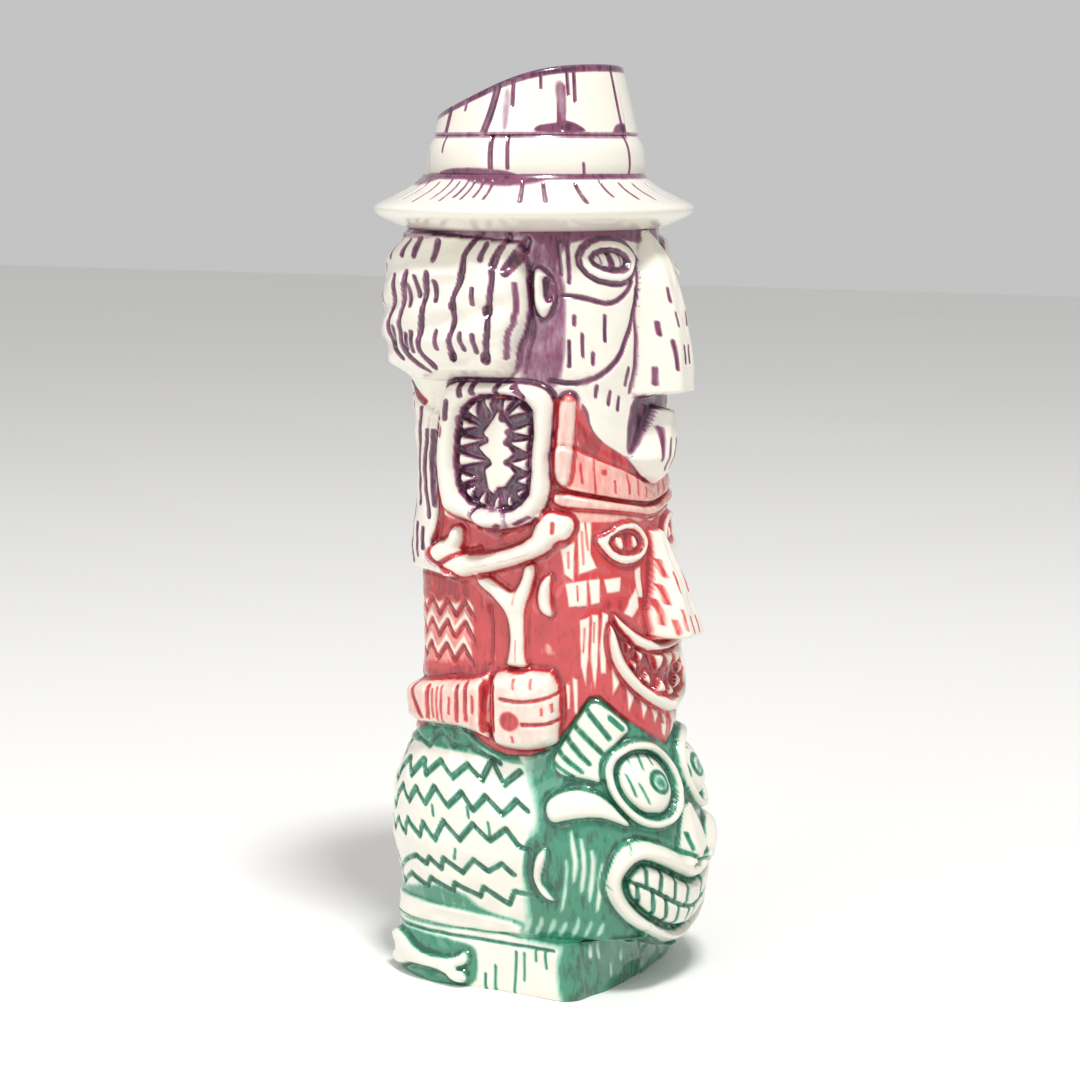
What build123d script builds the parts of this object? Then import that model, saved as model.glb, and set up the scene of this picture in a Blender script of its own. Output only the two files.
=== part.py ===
from build123d import *
import math
import os

# A three-headed tiki mug: hollow ceramic tiers stacked on a square foot, with relief pieces luted on.
# Millimetres, +Z up, origin at the centre of the foot's flat underside. The faces look along -Y and the
# figure's right-hand side is -X. Relief pieces are drawn on the skin of the mug: u is the distance walked
# round the skin from the front centre line towards the figure's right, and z is the height.

# Driving dimensions
TOTAL_HEIGHT = 230.0
FOOT_WIDTH = 57.0
FOOT_DEPTH = 56.2
FOOT_HEIGHT = 15.0
FOOT_FRONT_RADIUS = 3.0
FOOT_BACK_RADIUS = 10.0
FOOT_SHOULDER = 1.6
FLOOR_TOP = 7.0
NECK_GREEN_RED = 61.0
NECK_RED_HELMET = 119.0
NECK_HELMET_TOP = 150.0
BRIM_UNDERSIDE = 190.0
BRIM_RADIUS = 40.2
BRIM_EDGE_HEIGHT = 195.0
BAND_BOTTOM = 203.0
BAND_TOP = 213.0
BAND_RADIUS = 28.2
CROWN_TOP_RADIUS = 22.6
CROWN_BACK_HEIGHT = 217.4
HAT_CENTRE_Y = -1.4
BRIM_LIP = 2.5
BRIM_LIP_INSET = 2.2
BAND_SWELL = 0.9
BAND_FOOT_SWELL = 0.4
BAND_SHOULDER_SWELL = 0.3
BAND_TOP_INSET = 1.4
RELIEF_ROOT = 9.0
MIRROR_GAP = 0.6

# Carved ring of teeth at each side: width, height and corner radius of the ring and of its opening
RING_OUTSIDE = (29.0, 37.0, 10.0)
RING_OPENING = (18.0, 26.5, 6.0)
RING_PROUD = 4.5
RING_TEETH = 4
RING_TOOTH_PITCH = 5.0
RING_TOOTH_GAP = 0.6
RING_TOOTH_PROUD = 2.4
RING_PLATE_PROUD = 0.8
KNUCKLE_RADIUS = 4.4
KNUCKLE_PROUD = 1.5

# Bones, arm and fist
CROSS_BONE_WIDTH = 5.2
CROSS_BONE_PROUD = 4.6
CROSS_BONE_KNOBS = [(-18.0, 8.0, 3.4), (-13.5, 9.0, 3.2), (14.0, 2.5, 3.2), (18.5, -3.0, 3.2)]
FORKED_BONE_WIDTH = 4.2
FORK_WIDTH = 3.4
FORKED_BONE_PROUD = 2.8
FOOT_BONE_HALF_LENGTH = 9.0
FOOT_BONE_WIDTH = 3.6
FOOT_BONE_KNOB_RADIUS = 2.3
FOOT_BONE_KNOB_OFFSETS = (10.5, 1.9)
FOOT_BONE_CENTRE = (4.0, 6.4)
FOOT_BONE_TILT = 6.0
FOOT_BONE_PROUD = 1.4
FOOT_BONE_ROOT = 2.0
FIST_SIZE = (17.5, 22.0, 3.5)
FIST_PROUD = 7.0
FOREARM_FRONT_Y = -2.0

# Eyes, mouths and the strips round the head
EYE_RING_RADIUS = 11.0
EYE_SOCKET_RADIUS = 8.0
EYE_RING_PROUD = 4.2
EYEBALL_RADIUS = 10.5
EYEBALL_CENTRE_DEPTH = 6.5
EYE_FIT_GAP = 0.1
LIPS_GREEN_PROUD = 4.4
TEETH_GREEN_PROUD = 2.4
LIPS_RED_PROUD = 3.4
TEETH_RED_BACKING = 0.8
TEETH_RED_PROUD = 2.2
TEETH_RED_PLACES = (-8, -3, 3, 8)
TOOTH_RED_HALF_WIDTH = 2.0
HEADBAND_PROUD = 1.6
HELMET_POST_SIZE = (5.4, 22.5, 2.6)

# Thickness of the bands that wrap round the head, as (height, thickness)
FOREARM_PROFILE = [(61.5, 1.5), (65, 4.8), (72, 5.2), (77, 4.2), (80, 2.0)]
HAIR_ROLL_PROFILE = [(153, 1.5), (157, 6.5), (164, 9.2), (173, 8.4), (180, 8.2), (185, 5), (188, 2)]
BACK_HAIR_PROFILE = [(104, 3.0), (109, 5.2), (117, 5.4), (121, 3.6), (148, 3.8), (152, 3.0)]

# How finely outlines are followed, and the least volume a cut piece may have, in cubic millimetres
OUTLINE_POINTS = 36
WALK_STEPS = 360
SMALLEST_PIECE = 4.0
FROM_BELOW = (Align.CENTER, Align.CENTER, Align.MIN)

# Skin of the heads: height, half width, reach to the front, reach to the back, and how square the plan
# is in front and behind (2 is an ellipse, larger is squarer).
HEAD_LEVELS = [
    (15, 27.6, 44.0, 27.8, 2.4, 4.2),
    (18, 28.8, 45.2, 28.8, 2.3, 3.2),
    (24, 30.6, 46.5, 30.4, 2.2, 2.8),
    (36, 32.2, 47.5, 33.0, 2.15, 2.7),
    (48, 31.0, 45.0, 32.6, 2.3, 2.8),
    (61, 26.2, 41.0, 27.0, 2.2, 3.4),
    (68, 25.5, 42.5, 23.0, 2.05, 4.0),
    (84, 25.5, 41.0, 21.4, 2.15, 4.4),
    (96, 25.5, 37.8, 21.2, 2.7, 4.4),
    (119, 26.0, 36.0, 23.2, 2.8, 4.4),
    (134, 26.2, 34.5, 22.6, 2.6, 4.4),
    (150, 27.0, 36.3, 25.0, 2.6, 4.0),
    (158, 28.4, 37.5, 28.0, 2.8, 3.6),
    (178, 28.8, 37.5, 28.8, 2.8, 3.4),
    (190, 28.4, 33.0, 28.4, 2.4, 2.6),
]

# Inside of the cup: height, half width, reach to the front, reach to the back.
CUP_LEVELS = [
    (7, 20.0, 20.0, 20.0),
    (18, 22.5, 25.0, 22.5),
    (40, 26.0, 37.0, 27.0),
    (61, 21.0, 32.5, 21.5),
    (80, 20.0, 31.5, 16.5),
    (119, 20.5, 30.0, 17.5),
    (150, 21.5, 30.0, 19.5),
    (176, 23.0, 30.5, 23.0),
    (192, 22.5, 25.0, 22.0),
    (205, 21.5, 22.9, 20.1),
    (231, 17.8, 19.2, 16.4),
]
CUP_SQUARENESS = 2.5


def signed_power(value, power):
    return math.copysign(abs(value) ** power, value)


def plan_point(width, front, back, square_front, square_back, angle):
    """Point of a plan outline; angle 0 is the front centre line and grows towards the figure's right."""
    facing_front = math.cos(angle) >= 0
    square = square_front if facing_front else square_back
    reach = front if facing_front else back
    x = -width * signed_power(math.sin(angle), 2 / square)
    y = -reach * signed_power(math.cos(angle), 2 / square)
    return x, y


def head_level(z):
    """The head's half width, reaches and squareness at a height, straight between the listed levels."""
    for low, high in zip(HEAD_LEVELS, HEAD_LEVELS[1:]):
        if z <= high[0]:
            part = max(0.0, (z - low[0]) / (high[0] - low[0]))
            return [a + (b - a) * part for a, b in zip(low[1:], high[1:])]
    return list(HEAD_LEVELS[-1][1:])


def plan_face(z, width, front, back, square_front, square_back):
    """A closed smooth outline at height z, as a face."""
    points = []
    for i in range(OUTLINE_POINTS):
        angle = 2 * math.pi * (i + 0.5) / OUTLINE_POINTS
        x, y = plan_point(width, front, back, square_front, square_back, angle)
        points.append(Vector(x, y, z))
    return Face(Wire([Edge.make_spline(points, periodic=True)]))


def head_face(z, grow=0.0):
    width, front, back, square_front, square_back = head_level(z)
    return plan_face(z, width + grow, front + grow, back + grow, square_front, square_back)


def head_stack(bottom, top, grow=0.0):
    """The solid head between two heights, with its skin moved outwards by grow."""
    between = [row[0] for row in HEAD_LEVELS if bottom < row[0] < top]
    return loft([head_face(z, grow) for z in [bottom, *between, top]])


def swelling_band(profile):
    """A band round the head whose thickness follows (height, thickness) pairs."""
    return loft([head_face(z, thickness) for z, thickness in profile], ruled=True)


def hat_disc(z, radius):
    return Location((0, HAT_CENTRE_Y, z)) * Circle(radius).face()


def cup_space():
    sections = []
    for z, width, front, back in CUP_LEVELS:
        sections.append(plan_face(z, width, front, back, CUP_SQUARENESS, CUP_SQUARENESS))
    return loft(sections)


def skin_point(u, z):
    """Walk u along the skin at height z: the point there and the outward direction."""
    level = head_level(z)
    walked = 0.0
    old = plan_point(*level, 0.0)
    for i in range(1, WALK_STEPS + 1):
        new = plan_point(*level, math.pi * i / WALK_STEPS)
        step = math.dist(old, new)
        if walked + step >= u or i == WALK_STEPS:
            break
        walked += step
        old = new
    along = ((new[0] - old[0]) / step, (new[1] - old[1]) / step)
    rest = u - walked
    place = Vector(old[0] + along[0] * rest, old[1] + along[1] * rest, z)
    return place, Vector(along[1], -along[0], 0)


def skin_plane(u, z):
    """Plane on the skin: its x runs with u, its y runs up, and its normal points outwards."""
    place, outward = skin_point(u, z)
    along = Vector(-outward.Y, outward.X, 0)
    if along.cross(Vector(0, 0, 1)).dot(outward) < 0:
        along = -along
    return Plane(origin=place, x_dir=along, z_dir=outward)


def relief(sketch, u, z, proud, below=RELIEF_ROOT):
    """A relief piece: a flat sketch stood on the skin at (u, z), reaching into the wall."""
    plane = skin_plane(u, z)
    side = -1 if plane.y_dir.Z < 0 else 1
    face = sketch if side > 0 else sketch.mirror(Plane.XZ)
    return extrude(plane.offset(-below) * face, amount=proud + below)


def patch(points, proud, below=RELIEF_ROOT):
    """A relief piece from an outline given as (u, z) points on the skin."""
    middle_u = sum(p[0] for p in points) / len(points)
    middle_z = sum(p[1] for p in points) / len(points)
    local = [(u - middle_u, z - middle_z) for u, z in points]
    sketch = make_face(Polyline(*local, close=True))
    return relief(sketch, middle_u, middle_z, proud, below)


def bar(start, end, width):
    """Flat bar sketch between two points, with round ends."""
    middle = ((start[0] + end[0]) / 2, (start[1] + end[1]) / 2)
    length = math.dist(start, end)
    turn = math.degrees(math.atan2(end[1] - start[1], end[0] - start[0]))
    return Pos(*middle) * Rot(0, 0, turn) * SlotCenterToCenter(length, width)


def front_prism(right_side, front_y=-60.0, back_y=-8.0):
    """A symmetrical piece seen from the front; (u, z) points run from the top centre to the bottom."""
    right = [(skin_point(u, z)[0].X, z) for u, z in right_side]
    left = [(-x, z) for x, z in reversed(right) if abs(x) > 0.01]
    outline = [(x, front_y, z) for x, z in right + left]
    return extrude(make_face(Polyline(*outline, close=True)), amount=back_y - front_y, dir=(0, 1, 0))


def wedge(sections):
    """A nose or chin: level trapezoids (z, back y, front y, back half width, front half width)."""
    faces = []
    for z, back_y, front_y, wide, narrow in sections:
        corners = [(-wide, back_y, z), (-narrow, front_y, z), (narrow, front_y, z), (wide, back_y, z)]
        faces.append(make_face(Polyline(*corners, close=True)))
    return loft(faces, ruled=True)


def half_space(side_x, front_limit, bottom, top):
    """Block that keeps one side of the mug behind a given y."""
    width = 60
    depth = 60 - front_limit
    centre_x = math.copysign(MIRROR_GAP + width / 2, side_x)
    block = Box(width, depth, top - bottom)
    return Pos(centre_x, front_limit + depth / 2, (top + bottom) / 2) * block


# Tiers, outside only: the cup is cut out of them at the end
def foot_outside():
    plan = Rectangle(FOOT_WIDTH, FOOT_DEPTH).face()
    plan = plan.fillet_2d(FOOT_FRONT_RADIUS, plan.vertices().sort_by(Axis.Y)[:2])
    plan = plan.fillet_2d(FOOT_BACK_RADIUS, plan.vertices().sort_by(Axis.Y)[-2:])
    block = extrude(plan, amount=FOOT_HEIGHT)
    return chamfer(block.faces().sort_by(Axis.Z)[-1].edges(), FOOT_SHOULDER)


def brim_outside():
    lip_bottom = BRIM_EDGE_HEIGHT - BRIM_LIP
    lip_radius = BRIM_RADIUS - BRIM_LIP_INSET
    inner_radius = BAND_RADIUS + BAND_FOOT_SWELL
    rise = BAND_BOTTOM - BRIM_EDGE_HEIGHT
    under = loft([head_face(BRIM_UNDERSIDE), hat_disc(lip_bottom, lip_radius)], ruled=True)
    lip = Cone(lip_radius, BRIM_RADIUS, BRIM_LIP, align=FROM_BELOW)
    slope = Cone(BRIM_RADIUS, inner_radius, rise, align=FROM_BELOW)
    lip = Pos(0, HAT_CENTRE_Y, lip_bottom) * lip
    slope = Pos(0, HAT_CENTRE_Y, BRIM_EDGE_HEIGHT) * slope
    return under + lip + slope


def band_outside():
    height = BAND_TOP - BAND_BOTTOM
    swells = [
        (0, BAND_FOOT_SWELL),
        (height * 0.3, BAND_SWELL),
        (height * 0.75, BAND_SHOULDER_SWELL),
        (height, -BAND_TOP_INSET),
    ]
    return loft([hat_disc(BAND_BOTTOM + level, BAND_RADIUS + swell) for level, swell in swells])


def crown_outside():
    height = TOTAL_HEIGHT - BAND_TOP
    body = Cone(BAND_RADIUS - BAND_TOP_INSET, CROWN_TOP_RADIUS, height, align=FROM_BELOW)
    body = Pos(0, HAT_CENTRE_Y, BAND_TOP) * body
    slant = math.degrees(math.atan((TOTAL_HEIGHT - CROWN_BACK_HEIGHT) / (2 * CROWN_TOP_RADIUS)))
    knife = Box(100, 100, 40, align=FROM_BELOW)
    middle = (TOTAL_HEIGHT + CROWN_BACK_HEIGHT) / 2
    return body - Pos(0, HAT_CENTRE_Y, middle) * Rot(-slant, 0, 0) * knife


TIERS = {
    "foot_plinth": foot_outside(),
    "green_head": head_stack(FOOT_HEIGHT, NECK_GREEN_RED),
    "red_head": head_stack(NECK_GREEN_RED, NECK_RED_HELMET),
    "helmet": head_stack(NECK_RED_HELMET, NECK_HELMET_TOP),
    "top_head": head_stack(NECK_HELMET_TOP, BRIM_UNDERSIDE),
    "hat_brim": brim_outside(),
    "hat_band": band_outside(),
    "hat_crown": crown_outside(),
}


# Relief pieces on the figure's right; each has a mirrored twin
def jaw_ring_right():
    outer = RectangleRounded(*RING_OUTSIDE)
    opening = Pos(0.4, 1) * RectangleRounded(*RING_OPENING)
    return relief(outer - opening, 44, 134.5, RING_PROUD)


def jaw_teeth_right():
    """A flat plate in the ring's opening, with a row of pointed teeth on each side of it."""
    plate = relief(RectangleRounded(*RING_OPENING), 44.4, 135.5, RING_PLATE_PROUD)
    for row in range(RING_TEETH):
        low = 128 + row * RING_TOOTH_PITCH
        middle = low + RING_TOOTH_PITCH / 2
        high = low + RING_TOOTH_PITCH - RING_TOOTH_GAP
        for base, tip in ((36.2, 42.0), (52.6, 46.4)):
            plate = plate + patch([(base, low), (tip, middle), (base, high)], RING_TOOTH_PROUD)
    return plate


def jaw_knuckle_right():
    place, outward = skin_point(46.0, 118.5)
    return Pos(*(place + outward * KNUCKLE_PROUD)) * Sphere(KNUCKLE_RADIUS)


def cross_bone_right():
    sketch = bar((-15, 4), (15, -4), CROSS_BONE_WIDTH)
    for knob_u, knob_z, radius in CROSS_BONE_KNOBS:
        sketch += Pos(knob_u, knob_z) * Circle(radius)
    return relief(sketch, 45.5, 109.5, CROSS_BONE_PROUD)


def forked_bone_right():
    sketch = bar((0, -10), (0, 5), FORKED_BONE_WIDTH)
    sketch += bar((0, 5), (-5, 14.5), FORK_WIDTH)
    sketch += bar((0, 5), (10, 10.5), FORK_WIDTH)
    return relief(sketch, 41, 92.5, FORKED_BONE_PROUD)


def fist_right():
    return relief(RectangleRounded(*FIST_SIZE), 37.2, 72, FIST_PROUD)


def forearm_right():
    return swelling_band(FOREARM_PROFILE) & half_space(-1, FOREARM_FRONT_Y, 60, 82)


def eye_green_ring_right():
    ring = Circle(EYE_RING_RADIUS) - Circle(EYE_SOCKET_RADIUS)
    return relief(ring, 12.0, 53.5, EYE_RING_PROUD)


def eyeball_green_right():
    place, outward = skin_point(12.0, 53.5)
    socket = relief(Circle(EYE_SOCKET_RADIUS - EYE_FIT_GAP), 12.0, 53.5, 5.5)
    centre = place - outward * EYEBALL_CENTRE_DEPTH
    return socket & (Pos(*centre) * Sphere(EYEBALL_RADIUS))


def eye_red_right():
    rim = [(3.5, 113.5), (8.5, 119.2), (14.5, 119.2), (21, 116), (16.5, 109.5), (8, 109.3)]
    slit = [(6, 113.7), (9, 116.9), (13.5, 117.2), (17.5, 115.2), (15, 111.6), (8.5, 111.6)]
    return patch(rim, 3.0) - patch(slit, 6.0, -1.4)


def eye_top_right():
    lid = [(7, 184), (11, 187.6), (16, 188.4), (21.5, 187), (24.5, 183), (22.5, 179), (16, 177.4), (11, 179)]
    lens = [(10.5, 183.2), (14, 185.5), (19, 185.2), (21.7, 183), (18.5, 180.8), (13, 180.6)]
    return patch(lid, 3.0) - patch(lens, 6.0, -2.0)


def ear_top_right():
    return relief(Ellipse(2.6, 6.2), 33.5, 175.7, 5.0)


def ear_red_right():
    return patch([(32, 108), (35.2, 105), (36, 100.5), (34.5, 96.5), (31, 96.5)], 3.6)


def ear_green_right():
    return relief(Ellipse(4.6, 8.2), 40.5, 32.5, 3.2)


def brow_green_right():
    outline = [(22.5, 75.5), (30, 65), (34, 59.5), (32, 56.5), (22, 55), (18, 60.5), (13.5, 67), (17, 72)]
    return patch(outline, 3.0)


def ridge_green_right():
    upper = [(19.6, 45), (22.8, 50.2), (27, 53.6), (35, 53), (39.5, 48)]
    lower = [(39.5, 45.5), (34, 46.7), (28, 47.4)]
    return patch(upper + lower, 2.6)


def helmet_post_right():
    return relief(RectangleRounded(*HELMET_POST_SIZE), 27.2, 138.8, 4.0)


RIGHT_PIECES = {
    "jaw_ring": jaw_ring_right,
    "jaw_teeth": jaw_teeth_right,
    "jaw_knuckle": jaw_knuckle_right,
    "cross_bone": cross_bone_right,
    "forked_bone": forked_bone_right,
    "fist": fist_right,
    "forearm": forearm_right,
    "eye_ring_green": eye_green_ring_right,
    "eyeball_green": eyeball_green_right,
    "eye_red": eye_red_right,
    "eye_top": eye_top_right,
    "ear_top": ear_top_right,
    "ear_red": ear_red_right,
    "ear_green": ear_green_right,
    "brow_green": brow_green_right,
    "ridge_green": ridge_green_right,
    "helmet_post": helmet_post_right,
}

# Relief pieces on the centre line
LIPS_GREEN_OUTER = [
    (0, 32), (8, 37), (14, 40.6), (19, 42), (24, 40), (27.4, 33),
    (26.6, 27), (22, 21), (14, 16), (6, 11.6), (0, 9.6),
]
MOUTH_GREEN = [
    (0, 27), (8, 31), (13, 34), (18.5, 36.4), (22.4, 32),
    (21, 26), (15, 20.4), (7, 15.6), (0, 13.6),
]
LIPS_RED_OUTER = [
    (0, 88.4), (6, 89.4), (12, 92.6), (16.6, 97.4), (18.8, 90),
    (17.4, 84), (12, 77), (6, 72.2), (0, 69),
]
MOUTH_RED = [(0, 85.2), (8, 86.4), (12.4, 89), (15.6, 92.6), (14.6, 86.6), (10, 79.6), (4, 75.8), (0, 74)]


def lips_green():
    ring = front_prism(LIPS_GREEN_OUTER) - front_prism(MOUTH_GREEN)
    return ring & head_stack(9, 46, LIPS_GREEN_PROUD)


def teeth_green():
    return front_prism(MOUTH_GREEN) & head_stack(9, 46, TEETH_GREEN_PROUD)


def lips_red():
    ring = front_prism(LIPS_RED_OUTER) - front_prism(MOUTH_RED)
    return ring & head_stack(66, 100, LIPS_RED_PROUD)


def teeth_red():
    """Pointed teeth behind the red lips: a thin backing with triangles rooted in it."""
    mouth = front_prism(MOUTH_RED)
    backing = mouth & head_stack(66, 100, TEETH_RED_BACKING)
    points = head_stack(66, 100, TEETH_RED_PROUD)
    for u in TEETH_RED_PLACES:
        centre = math.copysign(skin_point(abs(u), 80)[0].X, -u)
        left = (centre - TOOTH_RED_HALF_WIDTH, -60, 75)
        right = (centre + TOOTH_RED_HALF_WIDTH, -60, 75)
        tooth = make_face(Polyline(left, (centre, -60, 81), right, close=True))
        prism = extrude(tooth, amount=50, dir=(0, 1, 0))
        backing = backing + (prism & points & mouth)
    return backing


def nose_green():
    return wedge([(33.5, -38, -51.5, 8.5, 4.0), (38, -38, -52, 8.0, 4.0), (47, -38, -48, 3.0, 1.5)])


def nose_red():
    return wedge([(89, -30, -47, 8.5, 4.5), (92, -30, -48.5, 8.5, 4.2), (116, -30, -37.5, 2.6, 1.4)])


def headband():
    return head_stack(121, 127, HEADBAND_PROUD) & front_prism([(0, 127), (26, 127), (26, 121), (0, 121)])


def chin_top():
    return wedge([(126.5, -28, -36.5, 5.5, 3.0), (135, -28, -42, 10.5, 4.5), (147, -28, -41, 3.5, 2.0)])


def nose_top():
    return wedge([(150, -30, -47, 10, 5), (154, -30, -48, 10, 5), (188, -28, -35.6, 4.2, 2.4)])


def hair_roll():
    """The thick roll of hair round the back and sides, under the hat."""
    return swelling_band(HAIR_ROLL_PROFILE) & Pos(0, 24, 170) * Box(100, 72, 60)


def back_hair():
    """The flat fall of hair down the back of the neck."""
    return swelling_band(BACK_HAIR_PROFILE) & Pos(0, 30, 130) * Box(100, 40, 60)


CENTRE_PIECES = {
    "lips_green": lips_green,
    "teeth_green": teeth_green,
    "nose_green": nose_green,
    "lips_red": lips_red,
    "teeth_red": teeth_red,
    "nose_red": nose_red,
    "headband": headband,
    "chin_top": chin_top,
    "nose_top": nose_top,
    "hair_roll": hair_roll,
    "back_hair": back_hair,
}


def bone_on_foot(side):
    """Bone in relief on the foot's side face; side is -1 for the figure's right and 1 for its left."""
    length = FOOT_BONE_HALF_LENGTH
    along, apart = FOOT_BONE_KNOB_OFFSETS
    sketch = bar((-length, 0), (length, 0), FOOT_BONE_WIDTH)
    for x in (-along, along):
        sketch += Pos(x, apart) * Circle(FOOT_BONE_KNOB_RADIUS)
        sketch += Pos(x, -apart) * Circle(FOOT_BONE_KNOB_RADIUS)
    centre_y, centre_z = FOOT_BONE_CENTRE
    root_x = side * (FOOT_WIDTH / 2 - FOOT_BONE_ROOT)
    plane = Plane(origin=(root_x, centre_y, centre_z), x_dir=(0, 1, 0), z_dir=(side, 0, 0))
    tilted = Rot(0, 0, -side * FOOT_BONE_TILT) * sketch
    return extrude(plane * tilted, amount=FOOT_BONE_ROOT + FOOT_BONE_PROUD)


def touching(first, second):
    a = first.bounding_box()
    b = second.bounding_box()
    return all(
        low_a < high_b and low_b < high_a
        for low_a, high_a, low_b, high_b in (
            (a.min.X, a.max.X, b.min.X, b.max.X),
            (a.min.Y, a.max.Y, b.min.Y, b.max.Y),
            (a.min.Z, a.max.Z, b.min.Z, b.max.Z),
        )
    )


# Pieces drawn to their neighbour's own outline, which need no cutting where they meet it
DRAWN_TO_FIT = {("teeth_green", "lips_green"), ("teeth_red", "lips_red")}


def earlier(pieces, name):
    """The relief pieces already placed that a new piece has to be cut back from."""
    return [piece for other, piece in pieces.items() if (name, other) not in DRAWN_TO_FIT]


def fitted(shape, others):
    """Cut a piece back so that it meets every earlier piece face to face, and drop crumbs."""
    for other in others:
        if touching(shape, other):
            shape = shape - other
    solids = [solid for solid in shape.solids() if solid.volume > SMALLEST_PIECE]
    return Compound(children=solids) if len(solids) > 1 else solids[0]


def build():
    skins = list(TIERS.values())
    pieces = {}
    for name, make in CENTRE_PIECES.items():
        pieces[name] = fitted(make(), skins + earlier(pieces, name))
    for name, make in RIGHT_PIECES.items():
        right = fitted(make(), skins + earlier(pieces, name))
        pieces[name + "_right"] = right
        pieces[name + "_left"] = right.mirror(Plane.YZ)
    pieces["foot_bone_right"] = fitted(bone_on_foot(-1), skins)
    pieces["foot_bone_left"] = fitted(bone_on_foot(1), skins)
    cup = cup_space()
    for name, outside in TIERS.items():
        pieces[name] = outside - cup
    return pieces


def main():
    os.makedirs("parts", exist_ok=True)
    for name, shape in build().items():
        export_step(shape, f"parts/{name}.step")


main()
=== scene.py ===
import math

import bpy
import numpy as np
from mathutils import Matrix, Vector


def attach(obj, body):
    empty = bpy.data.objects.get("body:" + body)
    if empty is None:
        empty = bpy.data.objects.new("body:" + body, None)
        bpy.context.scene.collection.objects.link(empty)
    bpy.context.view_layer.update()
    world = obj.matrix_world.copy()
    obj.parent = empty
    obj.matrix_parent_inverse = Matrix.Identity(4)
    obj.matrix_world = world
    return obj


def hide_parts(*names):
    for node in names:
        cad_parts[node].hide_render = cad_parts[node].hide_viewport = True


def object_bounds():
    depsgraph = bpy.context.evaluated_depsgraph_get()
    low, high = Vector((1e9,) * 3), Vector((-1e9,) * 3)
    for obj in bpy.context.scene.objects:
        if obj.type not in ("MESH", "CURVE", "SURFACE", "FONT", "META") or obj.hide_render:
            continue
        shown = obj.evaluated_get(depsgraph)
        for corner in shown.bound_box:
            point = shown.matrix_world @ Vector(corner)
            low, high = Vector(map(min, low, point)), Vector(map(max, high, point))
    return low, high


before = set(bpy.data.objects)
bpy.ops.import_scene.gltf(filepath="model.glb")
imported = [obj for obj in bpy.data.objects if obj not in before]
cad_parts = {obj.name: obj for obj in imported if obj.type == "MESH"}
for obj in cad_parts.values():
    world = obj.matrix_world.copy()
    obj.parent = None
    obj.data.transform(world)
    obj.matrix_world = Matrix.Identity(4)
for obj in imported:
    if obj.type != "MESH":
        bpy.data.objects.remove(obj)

bl_info = {
    "name": "Three-headed mug",
    "version": (1, 0, 0),
    "blender": (4, 5, 0),
    "location": "3D View > Sidebar > Mug",
    "description": "Builds a carved and wash-glazed mug of three stacked heads under a brimmed hat",
    "category": "Object", }

# All carving is worked out in millimetres and scaled once, when a mesh is made.
# The figure looks along -Y, its right hand is -X and +Z is up. On the skin, u is the distance walked
# round the mug from the front centre line towards the figure's right, z is the height, and the left
# side is the mirror of the right.
MM = 0.001
HALF_COLUMNS = 256
COLUMNS = 2 * HALF_COLUMNS
TABLE_STEP = 0.5
OUTLINE_POINTS = 1441
FOOT_TOP = 15.0
FOOT_BED = 14.2
HEAD_TOP = 190.0
FLOOR_TOP = 7.0
HAT_Y = -1.4
BAND_TOP = 213.0
CAD_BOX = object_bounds()
MUG_TOP = CAD_BOX[1].z / MM

# Rounding of the foot's edges, the groove at the red head's neck, and how a luted piece sits in its bed
FOOT_SHOULDER = 1.6
FOOT_HEEL = 0.8
FOOT_ROUNDING = 0.5
FOOT_HOLLOW = 0.8
NECK_GROOVE_DEPTH = 0.8
NECK_GROOVE_WIDTH = 0.6
BED_DEPTH = 0.6
CREASE_DEPTH = 0.35
CREASE_PLACE = 0.4
CREASE_WIDTH = 0.45

# How uneven the hand leaves the skin: long swells, and the marks of the tools
SEED = 7
SWELLS = 6
SWELL_HEIGHT = 0.10
SWELL_ROWS = 512
TOOL_MARK_HEIGHT = 0.11
SHARP_EDGE = 68

# Wash on the open ground, from 0, wiped clean, to 1, pooled
RED_HEAD_WASH = 0.74
HELMET_WASH = 0.05
UNDERSIDE_WASH = 0.8

# Where the camera stands, in metres and degrees, and where the lights hang
CAMERA_PLACE = (-0.5291, -0.3069, 0.208)
CAMERA_TILT = 80.94
CAMERA_TURN = -60
CAMERA_SHIFT = 0.0056
SENSOR_WIDTH = 36.0
LIGHT_AIM = (0, 0, 0.12)
KEY_PLACE = (-0.38, -0.42, 1.36)
KEY_SIZE = 0.22
FILL_PLACE = (-1.1, 0.25, 0.5)
FILL_SIZE = 0.9

# height, half width, reach to the front, reach to the back, squareness in front and behind
FOOT_LEVELS = [
    (0, 28.9, 29.0, 28.1, 13, 4.5),
    (FOOT_TOP, 28.9, 29.0, 28.1, 13, 4.5),
]
HEAD_LEVELS = [
    (8, 28.4, 39.4, 28.0, 2.5, 4.3),
    (15, 28.4, 43.0, 28.0, 2.4, 4.3),
    (18, 28.8, 45.2, 28.8, 2.3, 3.2),
    (24, 30.6, 46.5, 30.4, 2.2, 2.8),
    (36, 32.2, 47.5, 33.0, 2.15, 2.7),
    (48, 31.0, 45.0, 32.6, 2.3, 2.8),
    (61, 26.2, 40.0, 27.0, 2.2, 3.4),
    (68, 25.5, 40.2, 23.0, 2.1, 4.0),
    (84, 25.5, 39.2, 21.2, 2.2, 4.4),
    (96, 25.5, 37.8, 21.2, 2.7, 4.4),
    (119, 26.0, 35.2, 21.6, 2.8, 4.4),
    (134, 26.2, 34.0, 20.9, 2.6, 4.4),
    (150, 27.0, 35.6, 22.8, 2.6, 4.0),
    (158, 28.4, 36.6, 27.4, 2.7, 3.6),
    (178, 28.8, 36.2, 28.8, 2.7, 3.4),
    (190, 28.4, 32.0, 28.4, 2.3, 2.6),
]
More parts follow.
